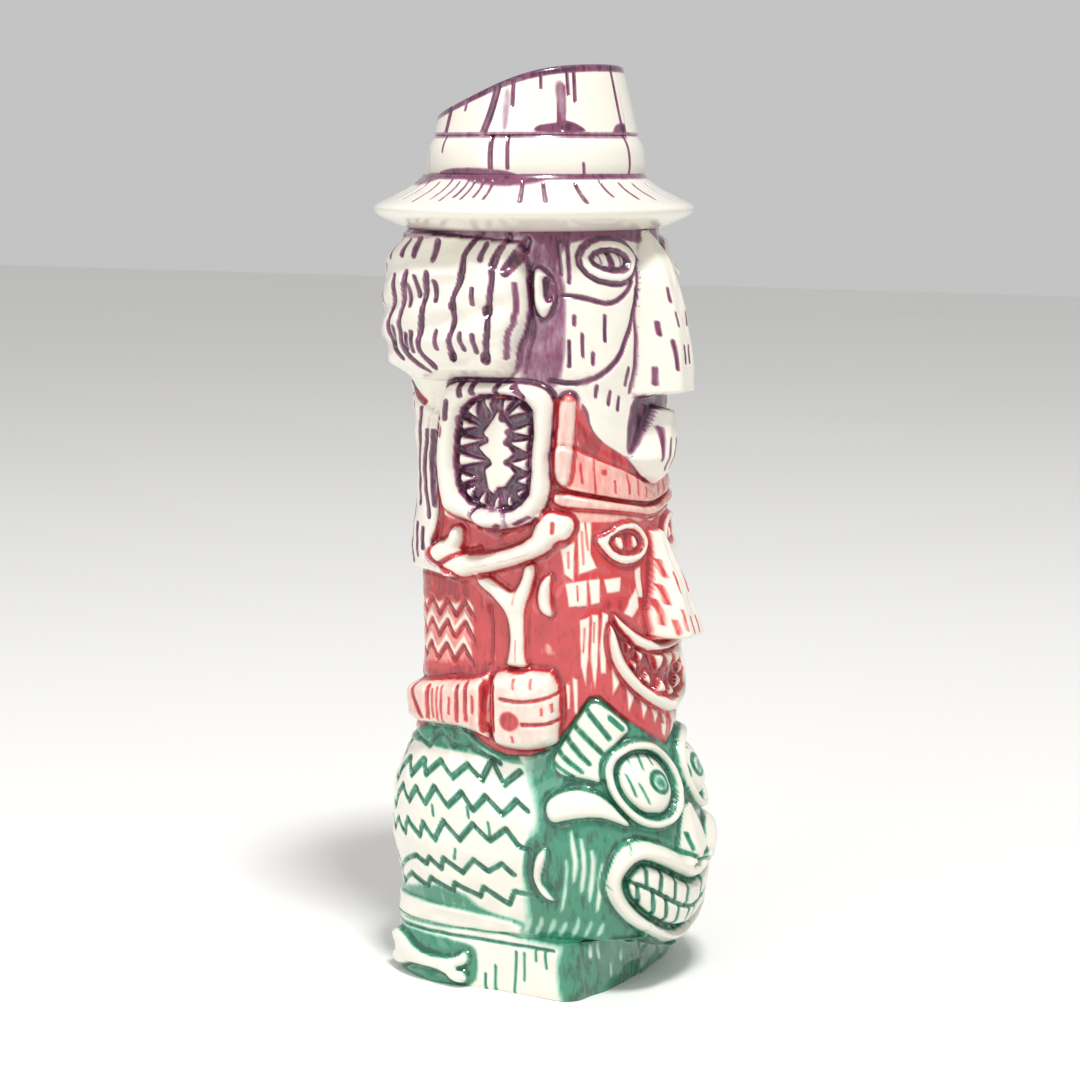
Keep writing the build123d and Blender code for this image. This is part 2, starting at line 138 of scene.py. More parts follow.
CUP_LEVELS = [
    (7, 20.0, 20.0, 20.0, 2.5, 2.5),
    (18, 22.5, 25.0, 22.5, 2.5, 2.5),
    (40, 26.0, 37.0, 27.0, 2.5, 2.5),
    (61, 21.0, 32.5, 21.5, 2.5, 2.5),
    (80, 20.0, 31.5, 16.5, 2.5, 2.5),
    (119, 20.5, 30.0, 17.5, 2.5, 2.5),
    (150, 21.5, 30.0, 19.5, 2.5, 2.5),
    (176, 23.0, 30.5, 23.0, 2.5, 2.5),
    (192, 22.5, 25.0, 22.0, 2.4, 2.4),
    (205, 21.5, 22.9, 20.1, 2.2, 2.2),
    (213, 20.6, 22.0, 19.2, 2.0, 2.0),
    (231, 17.8, 19.2, 16.4, 2.0, 2.0),
]

# Where one tier's clay ends and the next begins, as (u, z)
CHIN_LINE = [(0, 9.4), (5, 10.4), (9, 12.4), (13, 15), (16, 15), (200, 15)]
NECK_LINE = [(0, 61.5), (5, 64), (10, 67), (16, 71), (21, 75.8), (24, 75.5), (27, 71), (31, 65.5),
             (34, 62.5), (38, 60.8), (44, 60.5), (48, 61.2), (52, 63), (56, 65.5), (60, 66.8), (66, 66.5),
             (70, 65), (76, 62.5), (82, 61), (200, 61)]
HELMET_LINE = [(0, 118.3), (10, 120.8), (20, 122.3), (26, 122.8), (31, 122.3), (34, 119.5), (38, 117.6),
               (44, 116.3), (48, 116.5), (51, 117.8), (58, 119), (61, 120), (66, 119), (200, 119)]
FACE_LINE = [(0, 130), (10, 135), (13, 136.5), (18, 139.5), (21, 143), (23, 148), (24.6, 150), (200, 150)]


# Shapes on the skin -----------------------------------------------------------------------------

def rounded(points, closed=True, times=2):
    """Cuts the corners of an outline or stroke, so that it looks cut by a loop tool."""
    p = np.array(points, float)
    for _ in range(times):
        after = np.roll(p, -1, axis=0) if closed else p[1:]
        before = p if closed else p[:-1]
        pair = np.stack([0.75 * before + 0.25 * after, 0.25 * before + 0.75 * after], axis=1)
        cut = pair.reshape(-1, 2)
        p = cut if closed else np.vstack([p[:1], cut, p[-1:]])
    return p


def line_distance(u, z, points, closed):
    """Distance from each (u, z) to a run of straight pieces."""
    p = np.array(points, float)
    ends = np.roll(p, -1, axis=0) if closed else p[1:]
    starts = p if closed else p[:-1]
    best = np.full(u.shape, 1e9)
    for (au, az), (bu, bz) in zip(starts, ends):
        du, dz = bu - au, bz - az
        length = max(du * du + dz * dz, 1e-9)
        t = np.clip(((u - au) * du + (z - az) * dz) / length, 0, 1)
        best = np.minimum(best, (u - au - t * du) ** 2 + (z - az - t * dz) ** 2)
    return np.sqrt(best)


def inside_distance(u, z, points):
    """Distance to an outline, positive inside it."""
    p = np.array(points, float)
    inside = np.zeros(u.shape, bool)
    for (au, az), (bu, bz) in zip(p, np.roll(p, -1, axis=0)):
        if az == bz:
            continue
        crosses = (az > z) != (bz > z)
        at = (bu - au) * (z - az) / (bz - az) + au
        inside ^= crosses & (u < at)
    away = line_distance(u, z, p, True)
    return np.where(inside, away, -away)


def ellipse(u, z, across, up, count):
    """Points round an oval; across and up are its half widths."""
    turns = np.linspace(0, 2 * math.pi, count + 1)[:-1]
    return [(u + across * math.cos(a), z + up * math.sin(a)) for a in turns]


def both_sides(points):
    """Closes a half outline, listed from the top centre to the bottom centre, over the centre line."""
    return list(points) + [(-u, z) for u, z in reversed(points) if abs(u) > 0.01]


def soft_step(value, low, high):
    """Rises smoothly from 0 at low to 1 at high."""
    t = np.clip((value - low) / (high - low), 0, 1)
    return t * t * (3 - 2 * t)


def blur(field, reach):
    """Mean over a square of cells, for finding hollows and ridges."""
    out = field
    for axis in (0, 1):
        pad = [(reach, reach) if k == axis else (0, 0) for k in (0, 1)]
        total = np.cumsum(np.pad(out, pad, mode="reflect"), axis=axis)
        total = np.concatenate([np.zeros_like(np.take(total, [0], axis=axis)), total], axis=axis)
        width = 2 * reach + 1
        count = out.shape[axis]
        upper = np.take(total, np.arange(width, width + count), axis=axis)
        lower = np.take(total, np.arange(0, count), axis=axis)
        out = (upper - lower) / width
    return out


class Clay:
    """A sheet of clay with a height, an amount of wash, which in a few places paints shadow and highlights,
    and the name of the piece at each point.
    """

    def __init__(self, u, z):
        self.u = u
        self.z = z
        self.height = np.zeros(u.shape)
        self.wash = np.zeros(u.shape)
        self.label = np.zeros(u.shape, np.int16)
        self.forward = np.zeros(u.shape)
        self.pieces = ["tier"]

    def piece_number(self, name):
        """The number that stands for a piece on the sheet."""
        if name not in self.pieces:
            self.pieces.append(name)
        return self.pieces.index(name)

    def window(self, points, margin):
        """The points of the sheet near an outline or a stroke."""
        p = np.array(points, float)
        low, high = p.min(0) - margin, p.max(0) + margin
        return np.nonzero((self.u > low[0]) & (self.u < high[0]) & (self.z > low[1]) & (self.z < high[1]))

    def patch(self, piece, points, height, edge=1.6, hole=None, wash=0.0, crease=0.9, dome=0.0, times=2):
        """Lutes on a raised shape with rounded edges and leaves wash in the crease round it."""
        outline = rounded(points, True, times)
        at = self.window(outline, 3.0)
        u, z = self.u[at], self.z[at]
        d = inside_distance(u, z, outline)
        if hole is not None:
            d = np.minimum(d, -inside_distance(u, z, rounded(hole, True, times)))
        t = np.clip(d / edge, 0, 1)
        lift = height * t * (2 - t) + dome * np.clip(d, 0, 6) / 6
        on = d > 0
        sunk = CREASE_DEPTH * np.exp(-(((d + CREASE_PLACE) / CREASE_WIDTH) ** 2)) * (crease > 0)
        self.height[at] += np.where(on, lift, -sunk)
        if piece is not None:
            self.label[at] = np.where(on, self.piece_number(piece), self.label[at])
        clean = soft_step(d, 0.05, 0.6)
        pooled = crease * soft_step(-np.abs(d + 0.25), -0.95, -0.35)
        self.wash[at] = np.maximum(self.wash[at] * (1 - clean) + wash * clean, pooled)

    def wedge(self, piece, sections, wash=0.0):
        """A nose or chin: (z, half width on the face, half width at the front, height), low to high."""
        rows = np.array(sections, float)
        at = np.nonzero((self.z >= rows[0, 0]) & (self.z <= rows[-1, 0]) & (np.abs(self.u) < 14))
        u, z = np.abs(self.u[at]), self.z[at]
        wide, narrow, height = (np.interp(z, rows[:, 0], rows[:, k]) for k in (1, 2, 3))
        t = np.clip((wide - u) / np.maximum(wide - narrow, 0.1), 0, 1)
        shape = height * (0.55 * t + 0.45 * np.sin(t * math.pi / 2))
        on = (u < wide) & (shape > self.height[at])
        self.height[at] = np.where(on, shape, self.height[at])
        self.label[at] = np.where(on, self.piece_number(piece), self.label[at])
        self.forward[at] = np.where(on, 1.0, self.forward[at])
        share = soft_step(wide - u, 0.0, 0.8) * on
        self.wash[at] = self.wash[at] * (1 - share) + wash * share

    def cut(self, points, width=1.0, depth=0.5, wash=1.0, times=1):
        """One stroke of a loop tool, with wash pooled in it."""
        line = rounded(points, False, times) if len(points) > 2 else np.array(points, float)
        at = self.window(line, width + 1.0)
        d = line_distance(self.u[at], self.z[at], line, False)
        half = width / 2
        self.height[at] -= depth * np.clip(1 - (d / (half + 0.15)) ** 2, 0, 1)
        self.wash[at] = np.maximum(self.wash[at], wash * soft_step(-d, -half - 0.3, -half + 0.25))

    def cuts(self, strokes, width=1.0, depth=0.5, wash=1.0):
        """Several strokes alike."""
        for stroke in strokes:
            self.cut(stroke, width, depth, wash)

    def flood(self, points, wash, soft=0.8, times=2):
        """Wash left standing on an area; some floods paint shadow, under the brim and under the back hair.
        """
        outline = rounded(points, True, times)
        at = self.window(outline, soft + 0.5)
        d = inside_distance(self.u[at], self.z[at], outline)
        share = soft_step(d, -soft, soft)
        self.wash[at] = self.wash[at] * (1 - share) + wash * share

    def wipe(self, points, wash=0.05, lift=0.25, soft=0.5, times=1):
        """An area wiped back to the cream glaze, standing a little proud; beside the red nose it paints
        highlights.
        """
        outline = rounded(points, True, times)
        at = self.window(outline, soft + 0.5)
        d = inside_distance(self.u[at], self.z[at], outline)
        share = soft_step(d, -soft, soft)
        self.wash[at] = self.wash[at] * (1 - share) + wash * share
        self.height[at] += lift * share

    def settle(self):
        """Wash gathers in hollows and wears off ridges, and every edge softens a little."""
        reach, least_hollow, least_ridge = 3, 0.10, 0.12
        gathers, wears, softens = 0.9, 1.4, 0.75
        hollow = blur(self.height, reach) - self.height
        self.wash = np.clip(self.wash + gathers * np.clip(hollow - least_hollow, 0, 0.6), 0, 1)
        ridge = np.clip(-hollow - least_ridge, 0, 0.4)
        self.wash = self.wash * (1 - wears * ridge)
        self.height = (1 - softens) * self.height + softens * blur(self.height, 1)
        self.forward = blur(self.forward, 1)


# The body of the mug ------------------------------------------------------------------------------

class Outlines:
    """Half outlines of a stack of levels, at equal shares of their length, softened between levels."""

    def __init__(self, levels, columns, soften):
        rows = np.array(levels, float)
        self.low = rows[0, 0]
        heights = np.arange(rows[0, 0], rows[-1, 0] + TABLE_STEP / 2, TABLE_STEP)
        values = [np.interp(heights, rows[:, 0], rows[:, k]) for k in range(1, 6)]
        kernel = np.ones(soften) / soften
        smooth = [np.convolve(np.pad(v, soften // 2, mode="edge"), kernel, "valid") for v in values]
        wide, front, back, square_front, square_back = (v[:, None] for v in smooth)
        angle = np.linspace(0, math.pi, OUTLINE_POINTS)
        facing = np.cos(angle) >= 0
        c, s = np.abs(np.cos(angle)), np.abs(np.sin(angle))
        square = np.where(facing, square_front, square_back)
        x = wide * s ** (2 / square)
        y = np.where(facing, -front * c ** (2 / square_front), back * c ** (2 / square_back))
        step = np.hypot(np.diff(x, axis=1), np.diff(y, axis=1))
        walked = np.concatenate([np.zeros((len(heights), 1)), np.cumsum(step, axis=1)], axis=1)
        self.length = walked[:, -1]
        share = np.linspace(0, 1, columns + 1)
        self.x = np.array([np.interp(share * w[-1], w, row) for w, row in zip(walked, x)])
        self.y = np.array([np.interp(share * w[-1], w, row) for w, row in zip(walked, y)])
        self.x[:, 0] = 0
        self.x[:, -1] = 0
        along_x, along_y = np.gradient(self.x, axis=1), np.gradient(self.y, axis=1)
        size = np.hypot(along_x, along_y) + 1e-12
        self.nx, self.ny = along_y / size, -along_x / size
        self.nx[:, 0] = 0
        self.nx[:, -1] = 0

    def at(self, table, z):
        """Table values at a height for each column; z has one row per level and one column per column."""
        k = np.clip((z - self.low) / TABLE_STEP, 0, len(table) - 1.001)
        low = k.astype(int)
        part = k - low
        column = np.broadcast_to(np.arange(z.shape[1]), z.shape)
        if table.ndim == 1:
            return table[low] * (1 - part) + table[low + 1] * part
        return table[low, column] * (1 - part) + table[low + 1, column] * part


class Body:
    """The carved skin from the foot to the hat, one grid whose rows run along the tiers' meeting lines."""

    ROWS = {"foot_plinth": 40, "green_head": 130, "red_head": 152, "helmet": 84, "top_head": 128}

    def __init__(self):
        foot = Outlines(FOOT_LEVELS, HALF_COLUMNS, 1)
        head = Outlines(HEAD_LEVELS, HALF_COLUMNS, 9)
        share = np.linspace(0, 1, HALF_COLUMNS + 1)

        def meeting(line, z):
            """Heights of a meeting line over the columns, for the outline at height z."""
            u = share * np.interp(z, head.low + TABLE_STEP * np.arange(len(head.length)), head.length)
            return np.interp(u, *np.array(line, float).T)

        flat = np.ones_like(share)
        lines = [0 * flat, meeting(CHIN_LINE, 15), meeting(NECK_LINE, 65), meeting(HELMET_LINE, 119),
                 meeting(FACE_LINE, 140), HEAD_TOP * flat]
        heights, self.rows, start = [], {}, 0
        for (name, count), low, high in zip(self.ROWS.items(), lines, lines[1:]):
            part = np.linspace(0, 1, count + 1)[:, None]
            block = low + (high - low) * part
            own_first = name in ("foot_plinth", "green_head")
            heights.append(block if own_first else block[1:])
            first = start if own_first else start - 1
            self.rows[name] = (first, first + count)
            start = first + count + 1
        z = np.vstack(heights)
        is_foot = np.arange(len(z))[:, None] <= self.rows["foot_plinth"][1]
        self.x = np.where(is_foot, foot.at(foot.x, z), head.at(head.x, z))
        self.y = np.where(is_foot, foot.at(foot.y, z), head.at(head.y, z))
        self.nx = np.where(is_foot, foot.at(foot.nx, z), head.at(head.nx, z))
        self.ny = np.where(is_foot, foot.at(foot.ny, z), head.at(head.ny, z))
        length = np.where(is_foot, foot.at(foot.length, z), head.at(head.length, z))
        self.clay = Clay(share * length, z)

    def finish(self):
        """Opens the half sheet out to the whole ring, leaves it a little uneven, and places it in space."""
        clay = self.clay
        half = np.r_[0:HALF_COLUMNS + 1, HALF_COLUMNS - 1:0:-1]
        side = np.where(np.arange(COLUMNS) <= HALF_COLUMNS, -1.0, 1.0)
        rng = np.random.default_rng(SEED)
        uneven = np.zeros((clay.z.shape[0], COLUMNS))
        rows = np.arange(clay.z.shape[0])[:, None] / SWELL_ROWS * 2 * math.pi
        turn = np.arange(COLUMNS)[None, :] / COLUMNS * 2 * math.pi
        for wave in range(1, SWELLS + 1):
            phase = rng.uniform(0, 2 * math.pi, 2)
            size = SWELL_HEIGHT / wave
            uneven += size * np.sin(3 * wave * rows + phase[0]) * np.sin((2 * wave + 1) * turn + phase[1])
        tool_marks = blur(blur(rng.normal(size=uneven.shape), 4), 3)
        self.height = clay.height[:, half] + uneven + TOOL_MARK_HEIGHT * tool_marks / tool_marks.std()
        self.wash = clay.wash[:, half]
        self.label = clay.label[:, half]
        self.base = np.stack([self.x[:, half] * side, self.y[:, half], clay.z[:, half]], axis=2)
        ahead = clay.forward[:, half]
        outward = np.stack([self.nx[:, half] * side * (1 - ahead), self.ny[:, half] * (1 - ahead) - ahead,
                            0 * self.height], axis=2)
        self.outward = outward
        nxt = np.roll(self.label, -1, axis=1)
        corners = np.stack([self.label[:-1], self.label[1:], nxt[:-1], nxt[1:]])
        self.cells = corners.min(0)
        bed = np.minimum(self.height, 0) - BED_DEPTH
        self.bed_points = self.base + outward * bed[..., None]
        self.points = self.base + outward * self.height[..., None]
        covered = self.cells > 0
        before = np.roll(covered, 1, axis=1)
        every = np.zeros(self.label.shape, bool)
        every[1:-1] = covered[1:] & covered[:-1] & before[1:] & before[:-1]
        self.tier_points = np.where(every[..., None], self.bed_points, self.points)
        return self


# Carving of each face and ornament -----------------------------------------------------------------
# Outlines and strokes are drawn on the figure's right side only, as (u, z) in millimetres.

def carve_foot(clay):
    """The foot: bowed in front, swelling where the bone lies, with cuts and the bone on its side."""
    on_foot = clay.z < np.interp(clay.u, *np.array(CHIN_LINE, float).T) + 0.01
    front_bow, bow_width, bow_top = 4.0, 27, 40
    side_swell, swell_place, swell_width, swell_top = 3.0, 63, 11, 16
    bow = front_bow * np.clip(1 - (clay.u / bow_width) ** 2, 0, 1) * np.clip(1 - clay.z / bow_top, 0, 1)
    away = (clay.u - swell_place) / swell_width
    swell = side_swell * np.exp(-(away ** 2)) * np.clip(1 - clay.z / swell_top, 0, 1)
    clay.height += np.where(on_foot, bow + swell, 0)
    clay.flood([(-3, -3), (-3, 17), (27, 17), (29, 14), (31, 10), (30.5, 3), (28, -3)], 0.85, 1.8)
    for left, right, low, high in ((17.5, 19, 9, 14), (20.5, 22.3, 10, 14), (8, 9.4, 6, 9.5),
                                   (13, 14, 3, 7)):
        clay.wipe([(left, low), (right, low), (right, high), (left, high)], 0.15, 0.2)
    clay.flood([(54, -2), (53, 9), (56, 11.5), (80, 12), (200, 12), (200, 9), (90, 8), (82, -2)], 0.75)
    clay.cut([(32, 12.9), (60, 12.6), (90, 12.7), (130, 12.7)], 0.8, 0.6, 0.9)
    clay.cuts([[(34, 8), (34.3, 13)], [(40.3, 4), (40.3, 11)], [(43, 0.5), (42.6, 11)],
               [(48.5, 0), (48.5, 6.5)], [(51, 0), (51.2, 4)], [(37, 9.5), (37, 12.5)]], 0.7, 0.35, 0.8)
    bone = [(59, 8), (62, 7.3), (68, 7), (73, 8.6), (76, 10.4), (80, 11.2), (83, 9.6), (81.6, 7.2),
            (79.4, 6.2), (82, 4.6), (82.6, 2.4), (79.5, 0.9), (76, 1.6), (73, 3.0), (68, 3.6), (62, 3.2),
            (60, 1.2), (56.8, 0.6), (54.9, 2.4), (56.2, 4.4), (58.3, 4.9), (56, 5.6), (54.9, 7.8),
            (56.8, 9.8)]
    clay.patch("foot_bone", bone, 2.2, 1.6, times=1)


def carve_green_tier(clay):
    """The bottom head: wash over the face, zigzags in the cream, and combed cheeks."""
    clay.flood([(-3, 8), (-3, 63), (8, 68), (20, 78), (27, 73), (34, 63), (41, 60), (42, 46), (46, 40),
                (47, 28), (44, 18), (44, 14.5), (20, 14.5), (10, 8)], 0.80, 2.4)
    clay.flood([(53, 60), (40, 58), (44, 62), (60, 69), (78, 64), (120, 63), (120, 61)], 0.7, 0.6)
    clay.flood([(44, 14), (44, 19), (58, 20.5), (64, 25), (75, 25.5), (84, 22), (120, 23.5), (120, 14)],
               0.62, 1.0)
    clay.wipe([(45, 14.8), (46, 18.5), (58, 19.5), (72, 20), (100, 20.2), (120, 20), (120, 15)], 0.05, 0.9,
              0.6)
    zigzags = [
        [(46, 38.5), (48.5, 39), (51.5, 43), (56.5, 39.5), (61, 43), (65.5, 38.5), (70, 42.5), (73, 37.5),
         (77, 41), (78.5, 37.5), (83, 41), (84.5, 37), (88, 40)],
        [(45, 48), (47, 50.2), (52, 46.5), (55.5, 50.3), (60.5, 46.5), (62.5, 50.3), (68, 46.5), (71, 50.5),
         (75.5, 46), (77.5, 49.5), (82, 45.5), (84, 49), (88, 45.5)],
        [(43, 57), (49, 53.5), (50, 59), (55, 54), (58, 57), (64, 53.5), (66, 57), (73, 53), (72, 56.5),
         (79, 52), (78, 56), (85, 52.5)],
        [(50, 31.5), (53.5, 34), (57, 31.5), (61.5, 34), (64.5, 30), (70.5, 33), (71, 30), (75, 32.5),
         (76, 30.5), (80, 32), (84, 30)],
        [(45, 26.5), (49.5, 27), (50.5, 23.3), (58, 27), (59, 24.3), (66.5, 26.8), (67, 24.5), (74, 27),
         (75, 24.5), (82, 26.5)],
        [(48, 58.5), (52.5, 60), (56, 62), (60.5, 61), (64, 64), (69, 60), (74, 62), (80, 59)],
    ]
    for line in zigzags:
        end = line[-1]
        more = [(end[0] + 3.6 * k, end[1] + (0 if k % 2 == 0 else -3.4)) for k in range(1, 12)]
        for (au, az), (bu, bz) in zip(line + more, (line + more)[1:]):
            clay.cut([(au, az), (bu, bz)], 1.35, 0.6, 1.0)
    clay.cuts([[(56.3, 40), (56.3, 44)], [(67, 33.5), (67, 36)], [(73, 43.5), (73, 46)],
               [(62, 44.5), (62, 47)]], 0.8, 0.35, 0.8)
    for k in range(7):
        u = 27.2 + 2.2 * k
        low = 24 + 2.5 * ((k * 5) % 4)
        clay.wipe([(u, low), (u + 1.3, low - 2), (u + 1.5, low + 11 + k % 3), (u + 0.2, low + 13)], 0.1,
                  0.2, 0.6)
    for k in range(7):
        u = 25 + 3.1 * k
        clay.wipe([(u, 16), (u + 1.6, 16), (u + 1.4, 20 + k % 3), (u, 20)], 0.25, 0.1, 0.7)


LIPS_GREEN = [(0, 32), (4, 35), (8, 37), (13, 40), (19, 42), (24, 40), (26.5, 36), (27.5, 31), (26.5, 27),
              (23, 22), (18, 18), (12, 15), (5, 11), (0, 9.9)]
MOUTH_GREEN = [(0, 27), (8, 31), (12, 33.5), (18.5, 36.5), (22, 33), (22.5, 30), (21, 26), (16, 21),
               (8, 16.5), (0, 13.9)]


def carve_green_face(clay):
    """The bottom face: brows, ridges, round eyes, nose, lips and square teeth."""
    ring = ellipse(11.8, 54, 11, 11, 28)
    pupil = ellipse(11.8, 54, 8, 8, 28)
    brow = [(22.5, 76), (26, 71), (30, 65), (34, 59.5), (33, 56.5), (27, 56), (23, 54.5), (19, 60),
            (16, 65), (12.5, 67.5), (17, 72)]
    clay.patch("brow_green", brow, 1.7, 2.0, wash=0.1)
    clay.cuts([[(24, 73), (19, 66)], [(27, 69), (21, 62.5)], [(29, 66), (24.5, 60)], [(31, 62.5), (27, 58)],
               [(18.5, 71), (15.5, 68)], [(32.6, 59.5), (29.6, 56.8)]], 1.3, 0.45, 0.8)
    ridge = [(19.5, 46), (22.5, 50), (25, 53), (29, 54.4), (36, 53), (40.5, 49.5), (39.5, 45), (34, 46.5),
             (28, 47.2), (24, 46), (20, 44)]
    clay.patch("ridge_green", ridge, 2.6, 2.6)
    clay.patch("eye_ring_green", ring, 3.6, 2.4, hole=pupil, times=1)
    ball = ellipse(11.8, 54, 7.7, 7.7, 28)
    clay.patch("eyeball_green", ball, 3.0, 6.0, times=1, dome=0.6)
    clay.flood([(16, 47.5), (19.5, 52), (18.6, 49), (15, 46.6), (11, 46.6), (13, 47.6)], 0.8, 0.5)
    iris = ellipse(9.6, 54.6, 2.4, 2.4, 16)
    clay.cut([*iris, iris[0]], 1.0, 0.5, 1.0)
    clay.flood([(8.2, 53), (8.2, 56), (11, 56), (11, 53)], 0.6, 0.6)
    clay.cuts([[(12.5, 58), (11.7, 61)], [(14.8, 57.5), (14.6, 60)], [(16.6, 52), (16.8, 57)],
               [(9.3, 58.8), (9.2, 60.4)], [(5.6, 52.5), (5.8, 57)], [(14.2, 50), (15, 55)]], 0.6, 0.3, 0.7)
    clay.wedge("nose_green", [(33.2, 7.0, 3.0, 3.0), (37, 6.6, 2.8, 3.2), (42, 5.0, 2.0, 2.6),
                              (47, 2.6, 1.2, 1.4)])
    clay.cuts([[(5.5, 34.5), (6.8, 37.5), (6.2, 40)], [(3.6, 36.5), (3.9, 40.5)]], 0.8, 0.5, 0.9)
    clay.patch("lips_green", both_sides(LIPS_GREEN), 4.0, 3.4, hole=both_sides(MOUTH_GREEN))
    pad = [(0, 26.3), (8, 30.2), (12, 32.6), (18.2, 35.4), (21.2, 32.6), (21.6, 30), (20.2, 26.4),
           (15.5, 21.8), (8, 17.3), (0, 14.8)]
    clay.patch("teeth_green", both_sides(pad), 2.2, 1.6)
    clay.cut([(21.5, 31.2), (17, 29.4), (10, 24.8), (4, 21.5), (-4, 20.4)], 1.0, 1.0)
    clay.cuts([[(17.6, 35.5), (16.8, 29.6)], [(13, 33.5), (13, 27)], [(8.4, 30.5), (8.2, 24)],
               [(3.6, 28.4), (3.6, 21.6)], [(19.4, 30.2), (18.2, 24.2)], [(15.2, 28.2), (14, 20.8)],
               [(11, 25.6), (10, 18.2)], [(6.5, 22.8), (5.8, 16.2)], [(1.6, 20.8), (1.2, 14.6)]], 0.95, 1.0)
    clay.cuts([[(4.5, 12.6), (5, 14.6)], [(21.5, 38.5), (20.8, 40.6)], [(25.4, 29.5), (26.6, 30.4)],
               [(15, 16.9), (14.2, 18.6)]], 0.5, 0.2, 0.5)


def carve_green_ear(clay):
    """The bottom head's small ear."""
    clay.flood([(37, 22), (37, 42), (46.5, 42), (48, 33), (45, 25), (41, 22)], 0.9, 0.8)
    ear = [(41.5, 40), (44.5, 37.6), (45.3, 33), (44, 29), (41.5, 26), (38, 25.2), (39.5, 27.8),
           (42.2, 30.5), (42.2, 33), (41.2, 37)]
    clay.patch("ear_green", ear, 2.6, 1.5)
    clay.cut([(45.8, 38.5), (46.4, 32), (44.6, 27.5), (41.5, 24.8)], 0.9, 0.6)


def carve_red_tier(clay):
    """The middle head: zigzags behind, and blocks wiped clean on the cheek; the two blocks at the nose wing
    are painted highlights.
    """
    clay.wipe([(54.5, 81), (54, 90), (55, 99), (60, 101), (120, 101), (120, 81)], 0.42, 0.0, 1.2)
    for z in (96, 90.5, 84.5):
        points = [(54 + 2.6 * k, z + (2.2 if k % 2 else -1.6)) for k in range(26)]
        for start, end in zip(points, points[1:]):
            clay.cut([start, end], 1.3, 0.55, 1.0)
            lift = [(start[0], start[1] + 1.2), (end[0], end[1] + 1.2), (end[0], end[1] + 2.7),
                    (start[0], start[1] + 2.7)]
            clay.wipe(lift, 0.06, 0.15, 0.4, 0)
    clay.cut([(48.6, 83), (48.4, 91), (49.2, 98)], 1.2, 0.8)
    clay.wipe([(32, 86.5), (34, 86.5), (34.2, 89.5), (32.4, 89)], 0.3, 0.1, 0.8)
    blocks = [
        [(21, 121), (24.5, 121), (25, 107), (20.5, 108.5), (21.8, 112)],
        [(25.5, 115), (29, 113), (28.5, 107), (26.5, 105.5)],
        [(20, 105.8), (22.8, 105.6), (22.6, 99.4), (20.4, 100)],
        [(23.2, 105.6), (28.5, 104.6), (28, 99), (23.6, 99.2)],
        [(14.5, 106), (19, 105.6), (18.4, 102.2), (15, 102.4)],
        # The pale blocks beside the nose wing, at u 7.8 to 14.5 and z 95.6 to 108, are painted highlights
        # in cream
        [(7.8, 108), (10, 107), (9.6, 100.5), (7.8, 100)], [(10, 103), (14.5, 97), (12.2, 95.6), (9.4, 98)],
        [(18.5, 97), (20, 97.6), (20.6, 88), (20.2, 82), (19, 82), (18.8, 90)],
        [(21, 97), (22.6, 97), (22.8, 87), (21.8, 78), (21, 84)],
        [(23.2, 96.5), (25.6, 95.5), (25.2, 84), (24, 79), (23.4, 86)],
        [(26, 80.5), (27.2, 81), (27, 72.5), (26.2, 71)], [(28, 79), (29, 79.4), (28.8, 73), (28.1, 73)],
        [(1.5, 67), (3.2, 67.8), (2.8, 64.8), (1.6, 64)], ]
    for block in blocks:
        clay.wipe(block, 0.06, 0.3, 0.35, 0)
    clay.cuts([[(22.6, 120), (22.4, 113)], [(23.6, 117.5), (23.7, 109.5)], [(27.2, 112.5), (27.4, 108.5)],
               [(25.6, 104.2), (25.7, 100.5)], [(22, 95), (22.1, 90)], [(24.4, 93.5), (24.6, 87.5)]],
              0.45, 0.2, 0.6)


